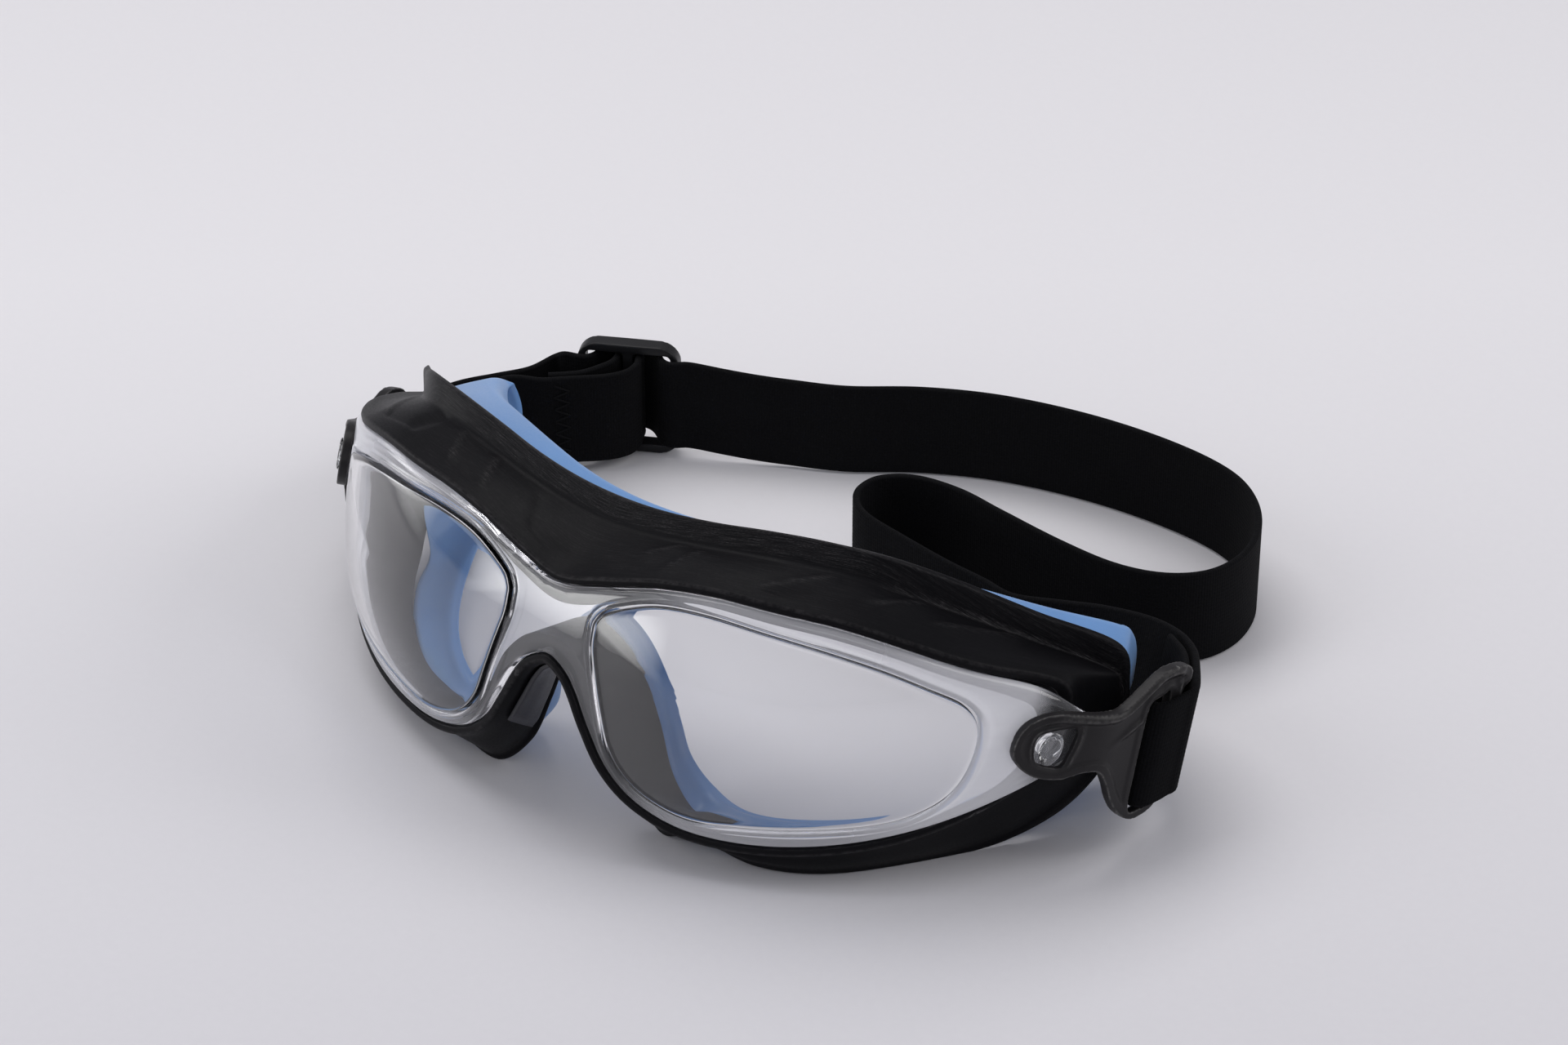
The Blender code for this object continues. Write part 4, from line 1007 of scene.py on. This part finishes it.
def moulded(loops, thick, voxel, smoothing):
    """Plate turned to an even mesh with softened edges; returns points and faces."""
    bm = flat_solid(loops, thick)
    mesh = bpy.data.meshes.new("blank")
    bm.to_mesh(mesh)
    bm.free()
    blank = bpy.data.objects.new("blank", mesh)
    bpy.context.scene.collection.objects.link(blank)
    even = blank.modifiers.new("even", "REMESH")
    even.mode = "VOXEL"
    even.voxel_size = voxel
    soft = blank.modifiers.new("soft", "SMOOTH")
    soft.factor = 0.5
    soft.iterations = smoothing
    evaluated = blank.evaluated_get(bpy.context.evaluated_depsgraph_get())
    out = evaluated.to_mesh()
    points = np.array([v.co for v in out.vertices], float)
    faces = [tuple(p.vertices) for p in out.polygons]
    evaluated.to_mesh_clear()
    bpy.data.objects.remove(blank, do_unlink=True)
    return points, faces


def clip(side):
    """Moulded clip: rolled top rail, bevelled window, neck facet, loop frame."""
    edge, window, slot = (smooth(outline, 8, closed=True)
                          for outline in (CLIP_EDGE, CLIP_WINDOW, CLIP_SLOT))
    blank, faces = moulded([edge, window, slot], CLIP_T, voxel=0.22, smoothing=5)
    top_line = edge[(edge[:, 1] > 1.0) & (edge[:, 0] > -6.5) & (edge[:, 0] < 28.0)]
    top_line = top_line[np.argsort(top_line[:, 0])]
    distances = [edge_distance(blank[:, :2], line)
                 for line in (top_line, close(window), close(slot), close(edge))]
    rail_height = 0.7 if side > 0 else 0.25
    points = []
    for (x, y, z), to_top, to_window, to_slot, to_edge in zip(blank, *distances):
        t = z
        share = max(0.0, z / (CLIP_T / 2))
        # rolled rail along the top edge, strongest over the arm
        rail = rail_height * math.exp(-((to_top - 0.9) / 0.85) ** 2)
        t += share * (rail * step(x, -4.0, 2.0) * (1 - step(x, 24.5, 27.5)))
        # the face sinks a little between the rails
        t -= (share * 0.35 * step(to_edge, 1.2, 2.2) * step(to_window, 0.6, 1.6)
              * step(to_slot, 0.8, 1.8))
        # bevel into the window
        t -= share * 0.45 * math.exp(-(to_window / 0.6) ** 2)
        # facet from the neck to the loop's corner
        off_line = y + 2.2 - 0.28 * (x - 9.5)
        facet = (step(x, 9.5, 16.0) * math.exp(-(off_line / 0.8) ** 2)
                 * (1 - step(x, 16.5, 18.0)))
        t += share * 0.55 * facet
        points.append(clip_point(x, y, t, side))
    return points, faces


def stud(side):
    """Clear stud: shank, undercut and an oval head with a lead-in taper."""
    _, along, face = clip_frame(PIVOT[0])
    # height out of the clip's face, radius along the arm, radius up
    levels = [(-1.3, 2.0, 2.0), (-0.9, 1.75, 1.75), (0.8, 1.7, 1.7), (1.02, 1.8, 2.2),
              (1.1, 2.05, 2.8), (1.2, 2.1, 2.9), (1.38, 2.0, 2.75), (1.5, 1.75, 2.4),
              (1.55, 1.3, 1.9), (1.48, 0.9, 1.3), (1.35, 0.5, 0.7)]
    rings = []
    for t, wide, high in levels:
        ring = []
        for k in range(40):
            angle = 2 * math.pi * k / 40
            q = (HUB + t * face + wide * math.cos(angle) * along
                 + high * math.sin(angle) * CLIP_UP)
            ring.append((side * q[0], q[1], q[2]))
        rings.append(ring)
    return ring_mesh(rings, closed=False, caps=True)


# ------------------------------------------------------------ elastic strap
RIBS = 23              # lengthwise ribs across the elastic
RIB_H = 0.085          # height of a rib
RIB_STEPS = 3          # mesh steps across a rib
EDGE_W = 0.55          # width of the strap's rounded edge
PICK = 0.75            # ring spacing along the elastic
STRAP_FINE = 16        # curve steps between two control points of the strap


def slider_point(s, t, z=SLIDER_Z):
    """Point on the slider: s along it, t through its thickness."""
    dx, dy = SLIDER_DIR
    return (SLIDER_AT[0] + s * dx + t * dy, SLIDER_AT[1] + s * dy - t * dx, z)


def fold(side, outer_s, inner_s):
    """Strap folded round a clip's rear bar: outer layer, slot, inner layer."""
    turns = [(outer_s, 1.9), (26.6, 2.1), (24.0, 2.1), (21.5, 1.7), (20.3, 0.0),
             (21.5, -1.7), (24.0, -2.1), (26.6, -2.15), (inner_s, -2.5)]
    return [clip_point(s, STRAP_H, t, side) for s, t in turns]


def strap_section():
    """Section of the elastic in (across the width, through the thickness)."""
    w, h = STRAP_W / 2, STRAP_T / 2
    n = RIBS * RIB_STEPS
    face = []
    for k in range(n + 1):
        groove = RIB_H * (0.5 - 0.5 * math.cos(2 * math.pi * k / RIB_STEPS))
        face.append(((w - EDGE_W) * (1 - 2 * k / n), h - groove))
    edge = []
    for k in range(1, 6):
        a = math.pi / 2 - math.pi * k / 6
        edge.append((-(w - EDGE_W) - EDGE_W * math.cos(a), (h - RIB_H * 0.2) * math.sin(a)))
    half = face + edge
    return half + [(-x, -y) for x, y in half]


SECTION = strap_section()


def strap_piece(name, line, ups, distance, replaces, start=None, end=None, ride=None):
    """Elastic along a stretch of the line, evenly resampled; returns its length too.

    distance is the run of strap before it, start and end its tangents there.
    """
    lengths = np.linalg.norm(np.diff(line, axis=0), axis=1)
    run = np.concatenate([[0], np.cumsum(lengths)])
    count = max(4, int(run[-1] / PICK))
    at = np.linspace(0, run[-1], count + 1)
    centres, up_vectors = (np.stack([np.interp(at, run, values[:, k]) for k in range(3)], 1)
                           for values in (line, ups))
    tangents = np.gradient(centres, axis=0)
    if start is not None:
        tangents[0] = start
    if end is not None:
        tangents[-1] = end
    rings, flow = [], []
    for i, centre in enumerate(centres):
        up = unit(up_vectors[i])
        across = unit(np.cross(unit(tangents[i]), up))
        rings.append([on_table(centre + a * up + b * across) for a, b in SECTION])
        flow += [(distance + at[i], a, 1.0 if b > 0 else -1.0) for a, b in SECTION]
    shape = (*ring_mesh(rings, closed=False, caps=True), flow)
    return add_piece(name, shape, elastic, replaces, ride, sharp=70.0), run[-1]


def round_box(near, far, high, radius, steps):
    """Box with rounded corners, centred at x = near and far, y = high and -high."""
    box = []
    for x, y, begin in ((far, high, 0), (near, high, 90), (near, -high, 180), (far, -high, 270)):
        for k in range(steps + 1):
            t = math.radians(begin + 90 / steps * k)
            box.append((x + radius * math.cos(t), y + radius * math.sin(t)))
    return box


def slider():
    """Buckle plate with rounded corners, two slots and a centre bar, slightly swollen rails."""
    half = SLIDER_L / 2
    inset = half - SLIDER_R
    rim = round_box(-inset, inset, SLIDER_H / 2 - SLIDER_R, SLIDER_R, steps=12)
    slot_high = STRAP_W / 2 + 0.45
    slot = round_box(near=2.0, far=7.3, high=slot_high - 1, radius=1, steps=6)
    slots = [[(sign * x, y) for x, y in slot] for sign in (1, -1)]
    blank, faces = moulded([rim] + slots, SLIDER_T, voxel=0.24, smoothing=7)
    points = []
    for x, y, z in blank:
        # rails swell a little at the middle and thin towards the corners
        rail = step(abs(y), STRAP_W / 2, STRAP_W / 2 + 1.2)
        swollen = z * (1 + 0.10 * rail * math.cos(x / half * math.pi / 2))
        points.append(slider_point(x, swollen, SLIDER_Z + y))
    return points, faces


def thread(centre, along, up, face):
    """One thread sewn in a zigzag across the strap, sunk a little into its ribs."""
    turns, half_width, pitch, radius = 12, 1.5, 1.35, 0.17
    path = [centre + along * (1 if k % 2 else -1) * half_width + up * (k - turns / 2) * pitch
            for k in range(turns + 1)]
    line = []
    for k in range(turns):
        for m in range(6):
            f = m / 6
            p = path[k] * (1 - f) + path[k + 1] * f
            line.append(p + face * (0.04 - 0.10 * abs(2 * f - 1) ** 4))
    line.append(path[-1])
    rings = []
    for p, tangent in zip(line, np.gradient(np.array(line), axis=0)):
        tangent = unit(tangent)
        across = unit(np.cross(tangent, face))
        out = np.cross(across, tangent)
        rings.append([p + radius * (math.cos(w) * across + math.sin(w) * out)
                      for w in np.linspace(0, 2 * math.pi, 9)[:-1]])
    return ring_mesh(rings, closed=False, caps=True)


def left_strap():
    """Sewn tail, fold round the left clip's bar, run to the table, band, feed to the slider."""
    path = LEFT_TAIL[::-1] + fold(1, 28.9, 28.3)[::-1]
    ups = [CLIP_UP] * len(path)
    path += LEFT_RUN
    ups += [CLIP_UP * (1 - k) + UP * k for k in (0, 0, 0, 0.25, 0.5, 0.75, 1.0)]
    table_start = (len(path) - 1) * STRAP_FINE
    path += [(x, y, FLAT_Z) for x, y in BAND[1:-2]] + [(*BAND[-2], FLAT_Z + 0.1)]
    table_end = (len(path) - 1) * STRAP_FINE
    path += [(*BAND[-1], -36.5), (-39.5, 109.0, -36.0), (-45, 106.3, -35.4)]
    path += [slider_point(12.3, 1.98)] + [slider_point(s, t) for s, t in WEAVE[::-1]]
    ups += [UP] * (len(path) - len(ups))
    line, lean = smooth(path, STRAP_FINE), smooth(ups, STRAP_FINE)
    tangent = np.gradient(line, axis=0)
    a, b = table_start, table_end
    left, used = strap_piece("strap_left", line[:a + 1], lean[:a + 1], 0.0,
                             ["strap_fold_left", "strap_run_left"], end=tangent[a])
    _, band_length = strap_piece("strap_back", line[a:b + 1], lean[a:b + 1], used, ["strap_band"],
                                 start=tangent[a], end=tangent[b], ride="frame")
    feed, _ = strap_piece("strap_feed_end", line[b:], lean[b:], used + band_length,
                          ["strap_feed"], start=tangent[b])
    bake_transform(left)
    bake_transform(feed)


def right_strap():
    """Slider's centre to the right clip, round its bar, back to the slider's centre bar."""
    leans = [unit(RIGHT_UP * (1 - k) + UP * k) for k in np.linspace(0, 1, 7)]
    # outer layer, from the slider to the clip
    path = [slider_point(-s, t) for s, t in WEAVE] + [slider_point(-12.3, 2.05)]
    ups = [UP] * len(path)
    end = clip_point(34.0, STRAP_H, 1.3, -1)
    low = end[2]
    path += [slider_point(-14.6, 2.3, FLAT_Z + 1.0), (-76.9, 85.4, FLAT_Z + 0.1),
             (-80.6, 79.2, low * 0.3 + FLAT_Z * 0.7), (-84.4, 73.0, low * 0.6 + FLAT_Z * 0.4),
             (end[0] + 1.4, end[1] + 5.5, low + 0.1)]
    ups += leans[5:0:-1]
    a = (len(path) - 3) * STRAP_FINE
    # round the clip's bar
    path += [end, clip_point(31.6, STRAP_H, 1.7, -1)] + fold(-1, 29.4, 29.4)
    path += [clip_point(31.6, STRAP_H, -2.8, -1), clip_point(34.0, STRAP_H, -3.2, -1)]
    ups += [RIGHT_UP] * (len(path) - len(ups))
    # inner layer, back to the slider
    end = clip_point(36.2, STRAP_H, -4.2, -1)
    path += [end, (-80.2, 72.6, end[2] * 0.7 + SLIDER_Z * 0.3), (-75.8, 77.8, SLIDER_Z)]
    ups += [leans[1], leans[2], leans[4]]
    b = (len(path) - 2) * STRAP_FINE
    path += [slider_point(-14.8, 12.38)] + [slider_point(s, t) for s, t in LOOP]
    ups += [UP] * (len(path) - len(ups))
    line, lean = smooth(path, STRAP_FINE), smooth(ups, STRAP_FINE)
    tangent = np.gradient(line, axis=0)
    outer_run, used = strap_piece("strap_slider_side", line[:a + 1], lean[:a + 1], 0.0,
                                  ["strap_outer_right", "strap_weave"], end=tangent[a])
    clip_loop, loop_length = strap_piece("strap_right", line[a:b + 1], lean[a:b + 1], used,
                                         ["strap_fold_right"], start=tangent[a], end=tangent[b])
    tail, _ = strap_piece("strap_return", line[b:], lean[b:], used + loop_length,
                          ["strap_return_right", "strap_end_loop"], start=tangent[b])
    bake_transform(clip_loop)
    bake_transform(outer_run)
    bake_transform(tail)


def stitching():
    """Zigzag threads at both sewn ends."""
    before, after = np.array(LEFT_RUN[1]), np.array(LEFT_RUN[2])
    along = unit(after - before)
    face = unit(np.cross(along, CLIP_UP))
    centre = before * 0.45 + after * 0.55 + face * (STRAP_T / 2 + 0.05)
    sewn = add_piece("sewn_end_left", thread(centre, along, unit(np.cross(face, along)), face),
                     sewing, ["stitching_left"], sharp=None)
    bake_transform(sewn)
    dx, dy = SLIDER_DIR
    along = unit(3.5 * unit((dx, dy, 0)) - 0.95 * unit((dy, -dx, 0)))
    face = unit(np.cross(along, UP))
    centre = np.array(slider_point(-10.9, 11.38)) + face * (STRAP_T / 2 + 0.05)
    add_piece("sewn_end_slider", thread(centre, along, UP, face), sewing,
              ["stitching_slider"], "slider", sharp=None)


# ------------------------------------------------------------------ build
clear = clear_material("clear_polycarbonate", tint=(0.975, 0.98, 0.99), rough=0.012)
shell_clear = clear_material("clear_shell_polycarbonate", tint=(0.975, 0.98, 0.99), rough=0.012,
                             painted_reflection=1.0)
lens_clear = clear_material("clear_lens", tint=(0.985, 0.985, 0.99), rough=0.008)
black = rubber_material("carrier_rubber", colour=(0.0044, 0.0043, 0.0053),
                        light=(0.100, 0.095, 0.098), rough=0.44, grain=0.000014, streak_and_sheen=0.75,
                        edge_band=(0.515, 0.56), edge_lighten=0.55, spec=0.06)
nose_black = rubber_material("nose_rubber", colour=(0.026, 0.026, 0.032),
                             light=(0.10, 0.10, 0.105), rough=0.42, grain=0.000010,
                             edge_lighten=0.35, spec=0.32)
clip_black = rubber_material("clip_plastic", colour=(0.013, 0.012, 0.013),
                             light=(0.20, 0.195, 0.19), rough=0.40, grain=0.000022,
                             edge_band=(0.512, 0.56), edge_lighten=0.7)
slider_black = rubber_material("slider_plastic", colour=(0.012, 0.012, 0.013),
                               light=(0.10, 0.10, 0.10), rough=0.36, grain=0.000010,
                               edge_lighten=0.3)
blue = seal_material()
elastic = elastic_material("elastic_webbing", colour=(0.0036, 0.0036, 0.0042))
sewing = elastic_material("sewing_thread", colour=(0.0065, 0.0065, 0.0072))

SIDES = ((1, "left"), (-1, "right"))
add_piece("clear_shell", clear_front(), shell_clear, ["front_frame"], "frame", sharp=55.0)
for side, word in SIDES:
    add_piece("stud_" + word, stud(side), clear, ["front_frame"], "frame",
              sharp=55.0, weld=True)
    add_piece("lens_pane_" + word, lens(side), lens_clear, ["lens_" + word], "frame",
              weld=True)
add_piece("carrier_shell", carrier(), black, ["seal_carrier"], "frame")
add_piece("seal_skirt", face_seal(), blue, ["face_seal"], "frame")
add_piece("nose_saddle", nose_pad(), nose_black, ["nose_pad"], "frame",
          sharp=50.0, weld=True)
for side, word in SIDES:
    add_piece("clip_body_" + word, clip(side), clip_black, ["clip_" + word],
              "clip_" + word)
add_piece("slider_body", slider(), slider_black, ["slider"], "slider")
left_strap()
right_strap()
stitching()

# ------------------------------------------------------------------ stage
# Stage sizes are in metres.
VIEW_TURN, VIEW_TILT = math.radians(36.37), math.radians(33.0)
right = Vector((math.cos(VIEW_TURN), math.sin(VIEW_TURN), 0.0))
ahead = Vector((-math.sin(VIEW_TURN) * math.cos(VIEW_TILT),
                math.cos(VIEW_TURN) * math.cos(VIEW_TILT), -math.sin(VIEW_TILT)))
above = right.cross(ahead)
FLOOR_DIR = (-math.sin(VIEW_TURN), math.cos(VIEW_TURN))  # away from the viewer
HOME = world((0.0, 0.0, TABLE))
STAGE_MIDDLE = HOME + Vector((0.0, 0.05, 0.0))
CAMERA_OFFSET = Vector((0.41676, -0.49907, 0.48252))
FLOOR_HALF, FLOOR_Z = 2.4, -0.0002


def add_floor():
    mesh = bpy.data.meshes.new("floor")
    corners = [(x * FLOOR_HALF, y * FLOOR_HALF, FLOOR_Z)
               for x, y in ((-1, -1), (1, -1), (1, 1), (-1, 1))]
    mesh.from_pydata(corners, [], [(0, 1, 2, 3)])
    floor = bpy.data.objects.new("floor", mesh)
    bpy.context.scene.collection.objects.link(floor)
    mesh.materials.append(floor_material())


def stage_point(side, back, up):
    """A place given in the viewer's directions: to the right, away and up."""
    flat = Vector((ahead.x, ahead.y, 0)).normalized()
    return STAGE_MIDDLE + right * side + flat * back + Vector((0, 0, up))


def area(name, place, wide, high, power, colour=(1, 1, 1), aim_up=0.0):
    """Panel light at (side, back, up), aimed at the stage's middle or above it."""
    data = bpy.data.lights.new(name, "AREA")
    data.shape = "RECTANGLE"
    data.size, data.size_y = wide, high
    data.energy = power
    data.color = colour
    panel = bpy.data.objects.new(name, data)
    place, aim = stage_point(*place), stage_point(0, 0, aim_up)
    panel.location = place
    panel.rotation_euler = (aim - place).to_track_quat("-Z", "Y").to_euler()
    bpy.context.scene.collection.objects.link(panel)
    return panel


def soften(light):
    """Fade a panel's glow to nothing at its edges."""
    light.use_nodes = True
    tree = light.node_tree
    spot = tree.nodes.new("ShaderNodeNewGeometry")
    split = tree.nodes.new("ShaderNodeSeparateXYZ")
    tree.links.new(spot.outputs["Parametric"], split.inputs[0])
    bells = []
    for place in split.outputs[:2]:
        rest = math_node(tree, "SUBTRACT", 1.0, place)
        bells.append(math_node(tree, "MULTIPLY", place, rest))
    both = math_node(tree, "MULTIPLY", *bells)
    # 16 brings the middle of the panel to full strength
    tree.links.new(math_node(tree, "MULTIPLY", both, 16.0),
                   tree.nodes["Emission"].inputs["Strength"])


def add_lights():
    area("key_overhead", (-0.25, 0.45, 1.15), wide=1.1, high=0.8, power=7.6,
         colour=(1.0, 0.985, 0.98))
    area("fill_left", (-1.1, -0.2, 0.7), wide=0.7, high=0.9, power=3.0, colour=(0.96, 0.97, 1.0))
    area("fill_right", (1.1, -0.1, 0.75), wide=0.5, high=0.9, power=4.6, colour=(1.0, 0.99, 0.98))
    area("front_soft", (0.1, -1.2, 0.95), wide=0.9, high=0.5, power=1.5)
    # panels that only show as reflections in the clear front
    for panel in (
            area("glint_left", (-0.30, -0.17, 0.07), wide=0.22, high=0.15, power=0.9, aim_up=0.03),
            area("glint_far", (-0.42, 0.16, 0.10), wide=0.27, high=0.19, power=0.8, aim_up=0.03)):
        panel.visible_diffuse = False
        panel.visible_camera = False
        panel.visible_transmission = False
        soften(panel.data)


def add_sky():
    sky = bpy.data.worlds.new("studio")
    sky.use_nodes = True
    background = sky.node_tree.nodes["Background"]
    background.inputs["Color"].default_value = (0.80, 0.80, 0.87, 1.0)
    background.inputs["Strength"].default_value = 0.42
    bpy.context.scene.world = sky
    bpy.context.scene.view_settings.view_transform = "Standard"


def add_camera():
    data = bpy.data.cameras.new("camera")
    data.lens = 103.125
    data.sensor_width = 36.0
    data.clip_start = 0.01
    camera = bpy.data.objects.new("camera", data)
    pose = Matrix((right, above, -ahead)).transposed().to_4x4()
    pose.translation = HOME + CAMERA_OFFSET
    camera.matrix_world = pose
    bpy.context.scene.collection.objects.link(camera)
    bpy.context.scene.camera = camera


add_floor()
add_lights()
add_sky()
add_camera()
